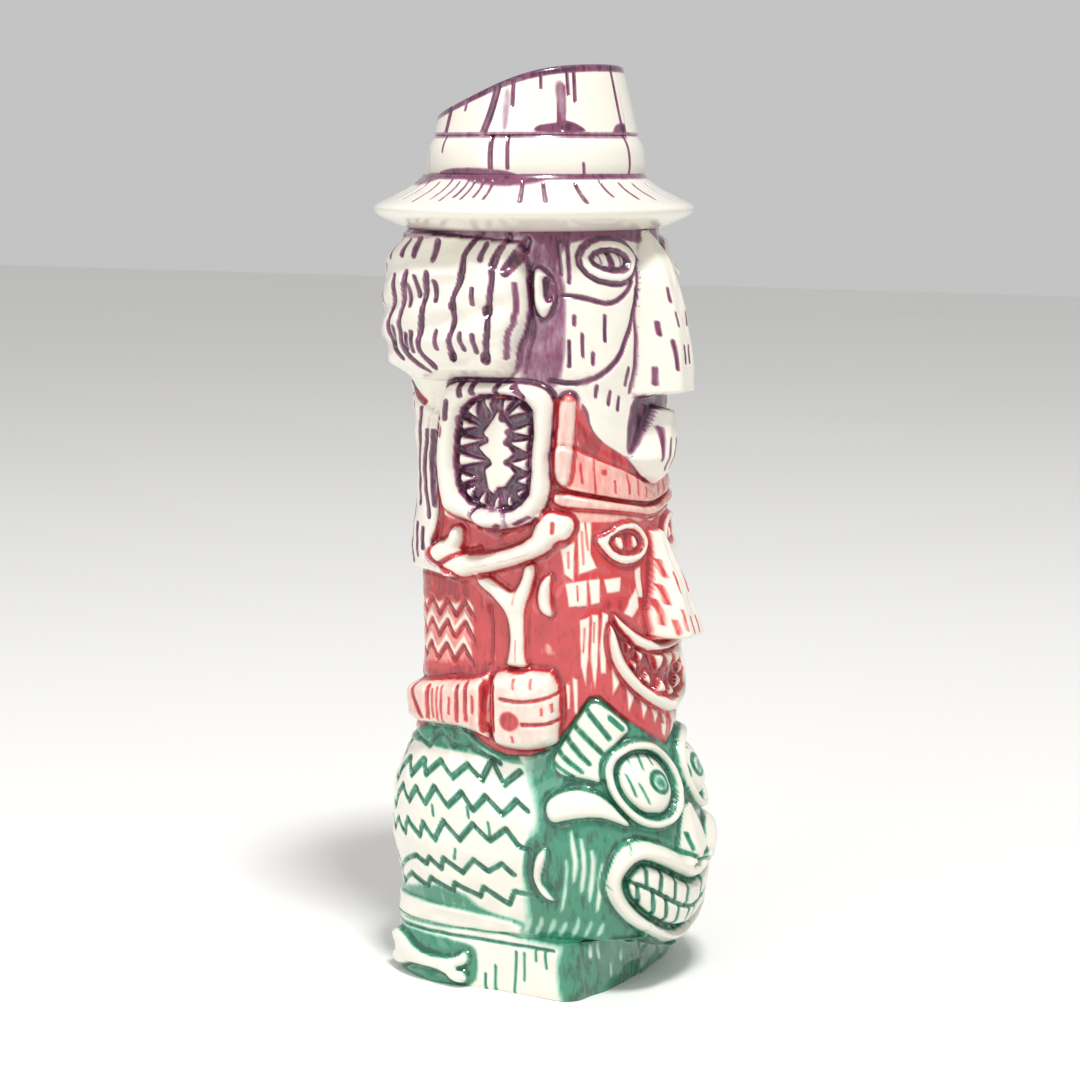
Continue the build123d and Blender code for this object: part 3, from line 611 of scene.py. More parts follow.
def carve_red_face(clay):
    """The middle face: eyes, nose, grin with pointed teeth, beard and ear."""
    outer = [(3.5, 113.5), (6, 117.5), (9, 119.3), (14, 119.3), (17, 117), (21, 116), (19, 112.5),
             (16, 109.5), (12, 108.5), (7, 109.5)]
    inner = [(6, 113.5), (8.5, 116.8), (13, 117.5), (17.5, 115.3), (15.5, 112), (11, 111.3), (8, 111.7)]
    clay.patch("eye_red", outer, 1.5, 1.3, hole=inner, times=1)
    clay.wipe([(8.2, 113), (9, 115.6), (10.4, 115.6), (10.2, 112.6)], 0.1, 0.8, 0.4)
    clay.wipe([(13.2, 112.8), (13.6, 116), (15.6, 115.2), (14.6, 112.8)], 0.1, 0.8, 0.4)
    clay.cut([(11.9, 112), (12, 116.6)], 1.1, 0.5)
    clay.wedge("nose_red", [(89.6, 7.6, 3.6, 9.2), (91, 7.8, 3.8, 10.0), (96, 7.8, 3.4, 9.2),
                            (104, 5.4, 2.4, 6.8), (112, 3.4, 1.6, 3.8), (116, 2.8, 1.2, 2.4)])
    clay.cuts([[(4.6, 103), (4.9, 98.5)], [(6, 99.5), (6.3, 93.5)], [(3.6, 97), (3.8, 92)],
               [(5, 94.5), (5.1, 91)], [(2, 106), (2.1, 101)], [(1.2, 95), (1.3, 91)],
               [(3.2, 109), (3.5, 105)]], 0.6, 0.25, 0.65)
    upper = [(0, 88), (4, 88.5), (10, 91), (15, 95), (17.5, 97.8), (17.2, 95), (15.5, 92.5), (12, 88.3),
             (8, 86.3), (0, 85.5)]
    lower = [(0, 74.2), (3, 75.5), (8, 78), (12.5, 82.5), (15, 87), (16.4, 92), (18.4, 95.5), (19, 90),
             (17.8, 84.6), (14.5, 79.3), (10, 75), (5, 71.5), (0, 69.4)]
    clay.flood(both_sides([(0, 86.5), (8, 87), (15.5, 94), (16, 88), (12.5, 81.5), (8, 77.5), (0, 73)]),
               1.0, 0.5)
    clay.patch("lips_red", both_sides(lower), 2.9, 2.2)
    clay.patch("lips_red", both_sides(upper), 2.6, 1.7)
    for tooth in ([(2.4, 85.6), (6.8, 86.2), (4.6, 80.6)], [(9.2, 86.6), (11.8, 88), (10.4, 83.2)],
                  [(6.8, 77.2), (10, 79.8), (8.0, 82.4)], [(1.8, 75), (6.2, 76.4), (4.0, 80)],
                  [(12.6, 88.6), (14.4, 90.8), (13.4, 86.4)], [(-2.1, 85.6), (2.1, 85.6), (0, 81)],
                  [(-1.6, 74.2), (1.6, 74.4), (0, 78.5)], [(10.8, 81), (13.0, 84.4), (11.4, 85)]):
        clay.patch("teeth_red", tooth, 2.0, 0.9, times=0, crease=0.8)
    for spike in ([(4.4, 71), (6.8, 72.2), (5.8, 68)], [(8, 73), (10, 74.6), (9.4, 69.6)],
                  [(11.6, 75.8), (14, 78.4), (13.4, 72)], [(15.4, 79.8), (17.4, 83.4), (17.4, 76.4)],
                  [(0.8, 69.6), (3, 70.4), (2.1, 66.4)]):
        clay.wipe(spike, 0.08, 0.5, 0.35, 0)
    ear = [(31, 108), (34.5, 105.6), (36.2, 101), (35.4, 97), (31.4, 95.6), (32.2, 101)]
    clay.patch("ear_red", ear, 2.4, 1.8, wash=0.15)


def carve_arm(clay):
    """The forearm, and the fist at its end."""
    clay.flood([(29, 62), (29, 85), (49, 84), (64, 80), (80, 78), (80, 64), (48, 61)], 0.9, 0.6)
    fist = [(30, 66), (30, 82.6), (36, 83), (43, 82.8), (48.5, 81), (48.6, 63.6), (44, 62), (38, 62),
            (32, 63.6)]
    clay.patch("fist", fist, 5.0, 3.4, dome=1.2, wash=0.17)
    clay.cuts([[(30.2, 77.5), (34.5, 76.2), (39, 75.4), (43.5, 75.8)],
               [(30.2, 70.8), (34, 70), (38.5, 69.8)]],
              0.9, 0.7, 0.8)
    clay.cuts([[(34, 72.4), (34, 74)], [(31.8, 73.2), (31.9, 75)], [(41, 65.2), (41.1, 66.4)],
               [(36.4, 79), (36.5, 81)], [(40.5, 78.5), (40.6, 80.6)]], 0.6, 0.3, 0.6)
    oval = ellipse(41.6, 70.4, 2.3, 2.4, 12)
    clay.flood(oval, 0.9, 0.5)
    arm = [(47.6, 63.6), (48.2, 81.8), (50, 80.4), (55, 79), (62, 78.2), (68.5, 77), (74, 76.4), (78, 73),
           (77.5, 68), (73, 65.2), (67, 65.6), (58, 66.2), (52, 64.8)]
    clay.patch("forearm", arm, 3.6, 2.8, dome=0.5, wash=0.24)
    clay.cuts([[(46.2, 67.5), (46, 78.5)], [(49.8, 66.5), (49.6, 79)]], 1.4, 0.9, 0.9)
    clay.cuts([[(48.5, 64.2), (48.6, 68)], [(54, 69), (54, 78)], [(56.6, 68.5), (56.5, 77)],
               [(65.2, 68), (65, 76)]], 1.1, 0.6, 0.85)
    clay.cuts([[(61, 67.5), (61, 76.5)], [(62.4, 67.7), (62.3, 76)], [(63.6, 68.5), (63.6, 75.5)],
               [(52, 71), (52.1, 75)], [(58.8, 70), (58.8, 74)]], 0.7, 0.35, 0.7)
    clay.cut([(67.2, 68), (70, 73.5), (70.6, 77)], 1.3, 0.6, 0.8)
    clay.cut([(73.5, 67), (75.2, 72), (74.5, 75)], 0.9, 0.4, 0.7)


def carve_bones(clay):
    """The forked bone held in the fist, and the long bone that crosses above it."""
    fork = [(34.6, 109.2), (38.4, 110), (39.6, 105), (42.2, 101.6), (45, 103.6), (49, 105.6), (52.6, 106),
            (52, 102.6), (47, 99.6), (44.4, 96), (43.4, 91), (43.6, 86), (44.6, 82.6), (37.6, 82.6),
            (38.8, 86), (39, 92), (39.2, 97), (37, 102)]
    clay.patch("forked_bone", fork, 2.2, 1.7)
    clay.cuts([[(40, 106), (41.8, 99)], [(41, 84.5), (41.2, 90)]], 0.5, 0.25, 0.4)
    shaft = [(24.5, 119), (25.6, 121.6), (28.4, 122.2), (30.6, 122.8), (33.6, 122.4), (34.8, 119.4),
             (36.5, 115.4), (44, 112.4), (52, 110.6), (55.8, 111), (54, 114.6), (54.6, 117.6),
             (57.8, 117.6), (59.6, 114.2), (62.6, 113.2), (65.4, 111), (64.2, 108), (61.4, 106.4),
             (59.2, 103.6), (54, 104.4), (46, 106.6), (38, 109.2), (31.4, 112.4), (29.6, 115),
             (26.6, 115.4)]
    clay.patch("cross_bone", shaft, 3.9, 2.4, times=1)
    clay.cut([(50.5, 112.3), (56, 110.6), (61, 107.7)], 1.2, 0.9, 0.9)
    clay.cut([(29.9, 120), (30.2, 117.6)], 0.9, 0.7, 0.6)
    clay.cuts([[(36, 112), (44, 109.6)], [(47, 108.6), (52, 107.4)]], 0.35, 0.15, 0.3)


def carve_helmet(clay):
    """The helmet's headband and the post beside the face."""
    clay.flood([(-3, 118), (-3, 126.6), (10, 129.6), (24, 136.5), (24.3, 149.4), (33, 150.4), (33, 119),
                (20, 120)], 0.28, 0.4)
    gap = [(0, 127.2), (10, 132), (13, 133), (19, 135.5), (24, 138), (24, 149), (22, 147.4), (21, 143),
           (18, 139.5), (13, 136.5), (10, 135), (0, 130)]
    clay.flood(both_sides([(0, 140), (8, 145), (23, 151), (24.6, 138), (19, 135.2), (10, 131.7),
                           (0, 126.8)]), 0.0, 0.3)
    band = [(0, 126.7), (10, 131.7), (13, 132.8), (19, 135.3), (24.4, 138), (30, 139), (30.4, 128.6),
            (20, 126.4), (10, 124.2), (0, 122.4)]
    clay.patch("headband", both_sides(band), 0.8, 1.0, wash=0.30, crease=0.7)
    brim = [(0, 121.6), (10, 123.6), (20, 125.6), (30.4, 127.6), (30, 123.4), (20, 122.9), (10, 121.4),
            (0, 119)]
    clay.patch("headband", both_sides(brim), 1.1, 1.2, wash=0.26, crease=0.7)
    clay.cut([(31, 128.2), (20, 126), (10, 123.9), (-4, 121.8)], 1.0, 0.5)
    clay.flood(gap, 0.95, 0.35, 1)
    post = [(24.3, 128.6), (24.5, 149), (26, 151.4), (28.4, 151.4), (29.7, 148.6), (29.7, 128.8)]
    clay.patch("helmet_post", post, 2.4, 2.0, wash=0.26, crease=0.4)
    clay.flood([(24.6, 149.4), (26, 151.6), (28.4, 151.6), (29.6, 149.6)], 0.9, 0.4, 1)
    clay.cuts([[(19.5, 127), (19.4, 135)], [(6.5, 125.4), (6.5, 129.4)], [(10, 126.2), (10.1, 131)],
               [(14.2, 126.6), (14.2, 129.5)], [(22.6, 129.5), (22.6, 134)], [(3, 124.6), (3, 127)]],
              0.7, 0.25, 0.7)
    clay.flood([(16.4, 131.2), (17.6, 131.2), (17.6, 132.4), (16.4, 132.4)], 0.8, 0.5)


def carve_jaw_ring(clay):
    """The ring of pointed teeth at the side, with the knob under it."""
    outer = [(29.5, 129), (29.5, 148), (31.4, 152), (35, 153.6), (40, 154), (52, 154), (58, 153.5),
             (60.5, 150.5), (60.6, 123), (58.5, 119.8), (51, 118.2), (46, 116.8), (40, 117.6), (34, 120),
             (31, 124)]
    hole = [(35, 128), (35, 146), (38, 149.4), (44, 150.2), (50, 149.4), (54, 145.5), (54, 127.5),
            (50.6, 123.4), (44, 122.2), (39, 123.4)]
    clay.flood(outer, 0.3, 0.3, 1)
    clay.patch("jaw_ring", outer, 4.4, 3.0, hole=hole, times=1)
    clay.flood(hole, 1.0, 0.35, 1)
    clay.patch("jaw_teeth", hole, 0.5, 0.4, wash=1.0, crease=1.0, times=1)
    plate = [(44.2, 147), (46, 144), (48, 141), (46.5, 139), (49, 137.5), (45, 133.5), (47, 132),
             (46.5, 127), (44.5, 125.3), (43.5, 127.5), (41.5, 127.8), (38.4, 131.5), (40.6, 134),
             (38.8, 136.2), (41, 139), (40.3, 142.5), (42.4, 145)]
    clay.patch("jaw_teeth", plate, 0.9, 0.8, times=0, crease=0.7)
    teeth = [
        [(35.2, 144), (35.2, 140.7), (40.8, 141.6)], [(35.2, 140.2), (35.2, 136.5), (41, 139)],
        [(35.2, 135.4), (35.2, 131.8), (40.4, 134)], [(35.2, 131.2), (35.6, 128.6), (39, 129.6)],
        [(36.2, 127.8), (38, 125.4), (38.8, 127)], [(39.6, 123.4), (41.2, 126.6), (41.4, 123)],
        [(43.2, 122.6), (44, 126.2), (45.4, 122.6)], [(36.4, 146.6), (38.6, 148.6), (42.5, 144.8)],
        [(40, 149.6), (42.8, 150), (42.8, 145)], [(45.8, 150), (48.6, 149.8), (46, 145.5)],
        [(49.8, 149.4), (53, 146.2), (49.2, 144.4)], [(53.9, 144.5), (53.8, 141.2), (48.8, 142.6)],
        [(53.9, 140.2), (53.9, 136.9), (46.8, 139.3)], [(53.9, 136), (53.9, 132.2), (45.8, 134)],
        [(53.9, 131), (53.6, 127.8), (48.8, 129.8)], [(53, 126.8), (51, 124), (49.6, 127.8)],
        [(49.8, 123.6), (47, 122.8), (47.2, 126.8)], ]
    for tooth in teeth:
        clay.patch("jaw_teeth", tooth, 2.0, 0.9, times=0, crease=0.8)
    ball = ellipse(46.2, 119.9, 4.5, 3.7, 20)
    clay.patch("jaw_knuckle", ball, 2.2, 3.4, crease=0.35)
    clay.cut([(43, 119), (44.5, 117.6), (47.4, 117.4)], 0.9, 0.5)
    clay.cut([(50.6, 116.8), (50.2, 121), (49.4, 123)], 0.9, 0.6, 0.8)
    clay.cut([(57, 144.5), (57, 148.5)], 1.5, 0.7)
    clay.cut([(58.3, 140), (58.3, 142)], 0.9, 0.4, 0.8)
    clay.cut([(35.5, 121.2), (39.5, 119)], 0.9, 0.3, 0.7)
    clay.cuts([[(37.4, 150.6), (40.4, 152.8)], [(44.3, 148.6), (44.4, 153)], [(50.4, 151), (51.2, 153.4)],
               [(53.4, 150.4), (54.6, 153.2)]], 1.5, 0.9, 0.9)


def carve_back_hair(clay):
    """The flat fall of hair down the back, with a painted shadow of dark red wash under its flared lower
    edge.
    """
    edge = 61.2
    sheet = [(edge, 152.6), (edge, 122), (62, 117), (64.5, 112), (62.5, 107.4), (55.5, 104.8), (60, 104.2),
             (67.5, 105.6), (80, 104.4), (130, 104.6), (130, 153)]
    # Painted shadow: a band of dark red wash under the flared lower edge of the hair, where it overhangs
    clay.flood([(50, 103.5), (56, 97.5), (70, 98), (130, 98), (130, 105), (64, 105)], 0.9, 1.0)
    clay.patch("back_hair", sheet, 1.4, 1.8, times=1)
    span = np.array([101, 106, 111, 121, 130, 154])
    swell = np.array([0.2, 1.4, 1.4, 0.0, 0.0, 0.0])
    at = np.nonzero((clay.label == clay.piece_number("back_hair")))
    clay.height[at] += np.interp(clay.z[at], span, swell)
    clay.cuts([[(62.6, 122), (62.2, 134), (62.4, 146)],
               [(64.0, 150), (63.9, 140), (64.8, 128), (64.4, 119)],
               [(66.8, 146), (66.6, 132), (67.6, 122)]], 1.1, 0.7)
    clay.cuts([[(66, 111), (66.2, 116)], [(68, 109), (68.4, 117)], [(70.4, 107), (71, 113)]], 0.9, 0.5)
    for k in range(12):
        u = 70.5 + 2.5 * k
        low, high = 109 + 3.5 * (k % 3), 147 + 2 * (k % 2)
        middle = 126 + 4 * math.sin(1.7 * k)
        clay.cut([(u, high), (u + 0.4, middle + 8), (u - 0.3, middle + 1)], 0.9, 0.5, 0.9)
        clay.cut([(u + 0.2, middle - 4), (u + 0.6, 115), (u + 0.9, low)], 0.9, 0.5, 0.9)
    clay.flood([(60.9, 141), (66, 141), (66, 152.8), (60.9, 152.8)], 0.0, 0.3, 0)


HAIR_HEIGHTS = [(152, 0.6), (153, 1.5), (157, 6.0), (164, 8.6), (173, 7.9), (180, 7.6), (184.5, 5.2),
                (188, 2.2), (190, 1.6)]


def carve_hair(clay):
    """The thick roll of hair, its long grooves, the short nicks between them, and a dark strip under the
    brim that is partly painted shadow of the brim.
    """
    clay.flood([(30, 153), (29.5, 176), (30, 188), (37, 190), (40, 180), (42, 153)], 0.55, 1.5)
    outline = [(36.4, 189), (36.4, 182), (37.4, 176), (37.4, 170), (38.2, 166), (40, 162), (40.6, 157),
               (43, 154), (50, 153.2), (130, 153.2), (130, 189.4)]
    shape = rounded(outline, True, 1)
    at = clay.window(shape, 2.0)
    d = inside_distance(clay.u[at], clay.z[at], shape)
    front = np.clip(line_distance(clay.u[at], clay.z[at], shape[1:-3], False) / 4.0, 0, 1)
    thinner = 1 - 0.5 * soft_step(clay.u[at], 60, 84)
    rise = np.interp(clay.z[at], *np.array(HAIR_HEIGHTS).T) * front * (2 - front) * thinner
    wave = 0.55 * np.sin(clay.z[at] * 2 * math.pi / 8.5 + clay.u[at] * 0.22) * front
    on = d > 0
    clay.height[at] += np.where(on, rise + wave, 0)
    clay.label[at] = np.where(on, clay.piece_number("hair_roll"), clay.label[at])
    clay.wash[at] *= 1 - soft_step(d, 0.0, 0.8)
    grooves = [
        [(43.5, 180.5), (44.5, 175), (45.2, 171), (44.8, 167), (45.5, 164), (46, 160)],
        [(46, 190), (49.5, 185), (50, 182), (52, 178.5), (53.8, 175), (53.8, 172), (54, 167), (55, 163),
         (55.2, 159.5)],
        [(60.2, 180), (61.8, 176), (62.2, 171), (63.2, 166), (63.8, 162), (63, 159.5), (60.5, 157)],
        [(66.3, 180), (68, 176), (69, 171), (69.5, 165), (69, 162), (66, 158), (63, 156)],
        [(71, 179), (71.5, 174), (73, 170), (73.5, 166), (72.5, 162), (69.5, 159)],
    ]
    for k in range(7):
        u = 77 + 4.6 * k
        lean = 0.8 * (-1) ** k
        grooves.append([(u, 181), (u + lean, 176), (u + 1.4, 170), (u + 1.2 - lean, 165), (u + 0.6, 160)])
    clay.cuts(grooves, 1.35, 1.0)
    nicks = [(48.7, 173, 176.5), (48.3, 161.5, 165.5), (51.5, 162, 165.8), (58.8, 173.5, 178),
             (58.6, 162, 166), (63.6, 174.5, 179), (66.2, 172, 177), (65.6, 161, 165.6), (67.3, 161.5, 165),
             (71.4, 161, 166.5)]
    nicks += [(79.3 + 4.6 * k, 162 + k % 3, 166.5 + k % 2) for k in range(6)]
    nicks += [(79.6 + 4.6 * k, 172.5 + k % 2, 177.5) for k in range(6)]
    for u, low, high in nicks:
        clay.cut([(u, low), (u + 0.2, high)], 1.1, 0.6)
    for blob in ((45.3, 171, 1.6), (46, 159.8, 1.8), (53.9, 172, 1.4), (55.2, 159.8, 1.4)):
        clay.cut([(blob[0], blob[1]), (blob[0], blob[1] + 0.6)], blob[2] * 1.5, 0.7)
    tops = [((34.5, 188), (40.5, 180.5), 2.2), ((38.5, 189), (43, 182), 1.6),
            ((44, 187), (45.6, 183.4), 1.2),
            ((57, 187.5), (58.6, 183.2), 1.4), ((62, 188), (64, 184), 1.4), ((66, 187.4), (68, 184), 1.2)]
    tops += [((72 + 5.2 * k, 188), (73.6 + 5.2 * k, 183.4), 1.3) for k in range(6)]
    for start, end, width in tops:
        clay.cut([start, end], width, 0.8)
    clay.cuts([[(36.4, 180), (36.8, 172), (36.8, 166), (38.6, 161), (38.8, 156)],
               [(39.3, 178), (39.4, 169), (41, 166), (42, 160)]], 0.8, 0.5, 0.75)
    # Dark purple strip along the top of the hair under the brim: partly wash, partly painted shadow of the
    # brim
    clay.flood([(30, 188.2), (130, 188.2), (130, 191), (30, 191)], 0.7, 0.7)


def carve_top_face(clay):
    """The top face: forehead darkened under the brim, partly wash and partly painted shadow of the brim,
    long nose, eyes, and lines on the cheek.
    """
    forehead = [(0, 192), (0, 187.4), (8, 187.6), (15, 190), (22, 188.8), (27, 186), (31, 180), (31, 192)]
    # The forehead under the brim: dark purple wash, partly a painted shadow of the brim
    clay.flood(both_sides([(0, 193), (36, 193), (35, 186), (28, 188), (24, 187.4), (16, 189.2), (9, 188),
                           (0, 186.8)]), 0.85, 0.8)
    clay.flood(forehead, 0.8, 0.8)
    clay.flood([(29.6, 182), (29.2, 168), (30.2, 158), (29.6, 153), (34, 153), (35.4, 160), (34.6, 170),
                (33, 182)], 0.68, 1.2)
    clay.wedge("nose_top", [(150.2, 10.2, 3.6, 8.6), (151, 10.4, 3.8, 9.4), (165, 9.8, 3.2, 7.4),
                            (168, 9.6, 3.0, 7.0), (176, 9.0, 2.6, 5.2), (184, 6.5, 2.2, 3.6),
                            (188, 3.5, 1.6, 2.4), (190, 2.6, 1.2, 1.0)])
    clay.cuts([[(6.5, 165), (6.6, 168)], [(2.5, 167), (2.6, 170)], [(4.2, 156.5), (4.5, 163.5)],
               [(7.6, 153), (7.8, 157)], [(1.0, 158), (1.1, 162)], [(3.4, 173), (3.5, 176)]], 0.7, 0.35,
               0.85)
    clay.cut([(7.2, 183), (9.8, 176), (10.3, 166), (10.9, 151)], 0.7, 0.4, 0.55)
    lid = [(7, 184), (10, 187.5), (16, 188.5), (21, 187), (24.5, 183), (22.5, 179), (16, 177.5),
           (12, 178.5), (9, 181)]
    lens = [(11, 183.5), (14, 185.5), (19, 185.2), (21.5, 183), (18, 181), (13, 180.8)]
    clay.patch("eye_top", lid, 1.5, 1.3, hole=lens, times=1)
    clay.patch("eye_top", lens, 0.8, 1.4, times=1, crease=0.95)
    clay.cut([(16.1, 181.6), (16.1, 184.8)], 1.6, 0.35)
    clay.cuts([[(18.6, 182.4), (18.8, 184.6)], [(13.4, 182.2), (13.3, 184)]], 0.5, 0.2, 0.6)
    clay.cut([(11, 178), (13.5, 175), (17, 173), (20, 173), (25, 174.5), (30, 175)], 1.1, 0.6)
    clay.cut([(9.5, 176), (10.5, 171), (13, 164.5), (15.5, 160), (19, 156.5), (22.5, 154.5), (27, 153.7),
              (32.5, 154.5)], 1.2, 0.7)
    clay.cuts([[(19.5, 164), (19.4, 170)], [(25, 160.5), (25.1, 165.5)], [(27, 168), (27, 170)],
               [(14, 147), (14, 150)], [(16.8, 148.5), (16.8, 151.5)], [(12.6, 153), (12.5, 157)],
               [(20.5, 150.5), (20.6, 153)], [(22.4, 158.5), (22.4, 161)], [(28.2, 158), (28.3, 164)]],
               0.8, 0.4)
    clay.cuts([[(25, 188), (28, 178)], [(27.4, 187), (29.4, 180)], [(23.2, 190), (25.4, 186.6)]], 0.9, 0.4,
              0.8)


def carve_ear_top(clay):
    """The top face's ear."""
    ear = ellipse(34.2, 175.5, 2.7, 6.2, 24)
    hollow = ellipse(32.8, 176.4, 1.0, 2.8, 16)
    clay.patch("ear_top", ear, 3.4, 1.8, hole=hollow, times=1)


def carve_chin_top(clay):
    """The top face's open mouth and pointed chin."""
    clay.flood(both_sides([(0, 150), (9.6, 150), (10.4, 143), (10.2, 135.6), (7, 137), (4, 142),
                           (0, 147)]), 0.95, 0.6)
    clay.wedge("chin_top", [(127.6, 1.0, 0.3, 1.5), (130, 5.4, 0.9, 4.8), (134.5, 10.2, 1.6, 7.0),
                            (138, 7.0, 1.6, 7.0), (142.4, 4.4, 1.5, 6.6), (146.6, 2.6, 1.0, 6.0)])
    clay.cuts([[(3, 134), (2.9, 142)], [(-1, 131.5), (-1, 139)], [(1, 131.5), (1, 139)]], 0.7, 0.5, 0.8)


def carve_body():
    """Carves the whole figure and returns its finished skin."""
    body = Body()
    clay = body.clay
    in_rows = {name: slice(first, last + 1) for name, (first, last) in body.rows.items()}
    clay.wash[in_rows["red_head"]] = RED_HEAD_WASH
    clay.wash[in_rows["helmet"]] = HELMET_WASH
    carve_foot(clay)
    carve_green_tier(clay)
    carve_green_face(clay)
    carve_green_ear(clay)
    carve_red_tier(clay)
    carve_red_face(clay)
    carve_arm(clay)
    carve_helmet(clay)
    carve_bones(clay)
    carve_back_hair(clay)
    carve_top_face(clay)
    carve_hair(clay)
    carve_ear_top(clay)
    carve_jaw_ring(clay)
    carve_chin_top(clay)
    foot = in_rows["foot_plinth"]
    shoulder = np.clip((clay.z[foot] - (FOOT_TOP - FOOT_SHOULDER)) / FOOT_SHOULDER, 0, 1)
    heel = np.clip(1 - clay.z[foot] / FOOT_HEEL, 0, 1)
    clay.height[foot] -= FOOT_ROUNDING * shoulder ** 2 + FOOT_ROUNDING * heel
    from_neck = np.abs(clay.z - clay.z[body.rows["red_head"][0]])
    clay.height -= NECK_GROOVE_DEPTH * np.exp(-((from_neck / NECK_GROOVE_WIDTH) ** 2)) * (clay.label == 0)
    clay.settle()
    # No wash is left where the hair meets the ring of teeth
    left, right, low, high = 60, 66, 140, 153
    bare = (clay.label == 0) & (clay.u > left) & (clay.u < right) & (clay.z > low) & (clay.z < high)
    clay.wash[bare] = 0
    return body.finish()


# Turning clay into pieces ---------------------------------------------------------------------------

def linear(hex_colour):
    """sRGB hex to the linear values that a shader takes."""
    values = [int(hex_colour[k:k + 2], 16) / 255 for k in (1, 3, 5)]
    return tuple(v / 12.92 if v <= 0.04045 else ((v + 0.055) / 1.055) ** 2.4 for v in values)


def new_piece(node, points, faces, wash, material):
    """Makes the mesh of one piece, lets it ride on the mug, and stands it in for its plain solid."""
    mesh = bpy.data.meshes.new(node)
    mesh.from_pydata((np.asarray(points) * MM).tolist(), [], faces)
    attribute = mesh.attributes.new("wash", "FLOAT", "POINT")
    attribute.data.foreach_set("value", np.ascontiguousarray(wash, np.float32))
    mesh.shade_smooth()
    mesh.set_sharp_from_angle(angle=math.radians(SHARP_EDGE))
    mesh.materials.append(material)
    piece = bpy.data.objects.new("glazed_" + node, mesh)
    bpy.context.scene.collection.objects.link(piece)
    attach(piece, "root")
    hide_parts(node)


def no_corner_contacts(mask):
    """Fills cells so that no two cells of a piece touch only at a corner."""
    for _ in range(4):
        a, b = mask[:-1], mask[1:]
        right_a, right_b = np.roll(a, -1, axis=1), np.roll(b, -1, axis=1)
        one = a & right_b & ~b & ~right_a
        two = ~a & ~right_b & b & right_a
        if not (one.any() or two.any()):
            break
        mask[1:] |= one
        mask[:-1] |= two
    return mask


def relief_solid(body, mask):
    """Points, faces and wash of the closed solid under the cells of a mask."""
    rows = body.label.shape[0]
    i, j = np.nonzero(mask)
    k = (j + 1) % COLUMNS
    below = rows * COLUMNS
    low_left, low_right = i * COLUMNS + j, i * COLUMNS + k
    high_left, high_right = low_left + COLUMNS, low_right + COLUMNS
    faces = [np.stack([low_left, high_left, high_right, low_right], 1),
             np.stack([low_left, low_right, high_right, high_left], 1) + below]

    def wall(open_cells, first, second):
        """Sides of the solid along the cells that have no neighbour there."""
        a, b = first[open_cells], second[open_cells]
        faces.append(np.stack([a, b, b + below, a + below], 1))

    padded = np.pad(mask, ((1, 1), (0, 0)))
    wall(~padded[i, j], low_left, low_right)
    wall(~padded[i + 2, j], high_right, high_left)
    wall(~mask[i, (j - 1) % COLUMNS], high_left, low_left)
    wall(~mask[i, k], low_right, high_right)
    used, compact = np.unique(np.concatenate(faces), return_inverse=True)
    points = np.concatenate([body.points.reshape(-1, 3), body.bed_points.reshape(-1, 3)])[used]
    wash = np.concatenate([body.wash.ravel(), body.wash.ravel()])[used]
    return points, compact.reshape(-1, 4).tolist(), wash


def ring_loops(loops, closed):
    """Quads between loops of equal count that run bottom to top on the outside, then down the inside."""
    count = len(loops[0])
    faces = []
    j = np.arange(count)
    k = (j + 1) % count
    pairs = list(zip(range(len(loops)), range(1, len(loops))))
    if closed:
        pairs.append((len(loops) - 1, 0))
    for low, high in pairs:
        faces.append(np.stack([low * count + j, high * count + j, high * count + k, low * count + k], 1))
    return np.concatenate(faces).tolist()


def cup_loop(cup, z):
    """One loop of the cup's inside."""
    height = np.full((1, HALF_COLUMNS + 1), float(z))
    x, y = cup.at(cup.x, height)[0], cup.at(cup.y, height)[0]
    half = np.r_[0:HALF_COLUMNS + 1, HALF_COLUMNS - 1:0:-1]
    side = np.where(np.arange(COLUMNS) <= HALF_COLUMNS, -1.0, 1.0)
    return np.stack([x[half] * side, y[half], np.full(COLUMNS, float(z))], 1)


# What is worked out once and shared by the operators: the carved skin, the cup and each slot's glaze
_work = {}


def body():
    """The carved skin and the cup, worked out once."""
    if "body" not in _work:
        _work["body"] = carve_body()
        _work["cup"] = Outlines(CUP_LEVELS, HALF_COLUMNS, 5)
    return _work["body"]


def slot_material(slot):
    """The glaze of a slot, made once."""
    if slot not in _work:
        scene = bpy.context.scene
        name, *colours = GLAZES[slot]
        thin, full, deep = (getattr(scene.mug_glaze, colour) for colour in colours)
        _work[slot] = washed_glaze(name, scene.mug_glaze.cream, thin, full, deep, scene.mug_sizes)
    return _work[slot]


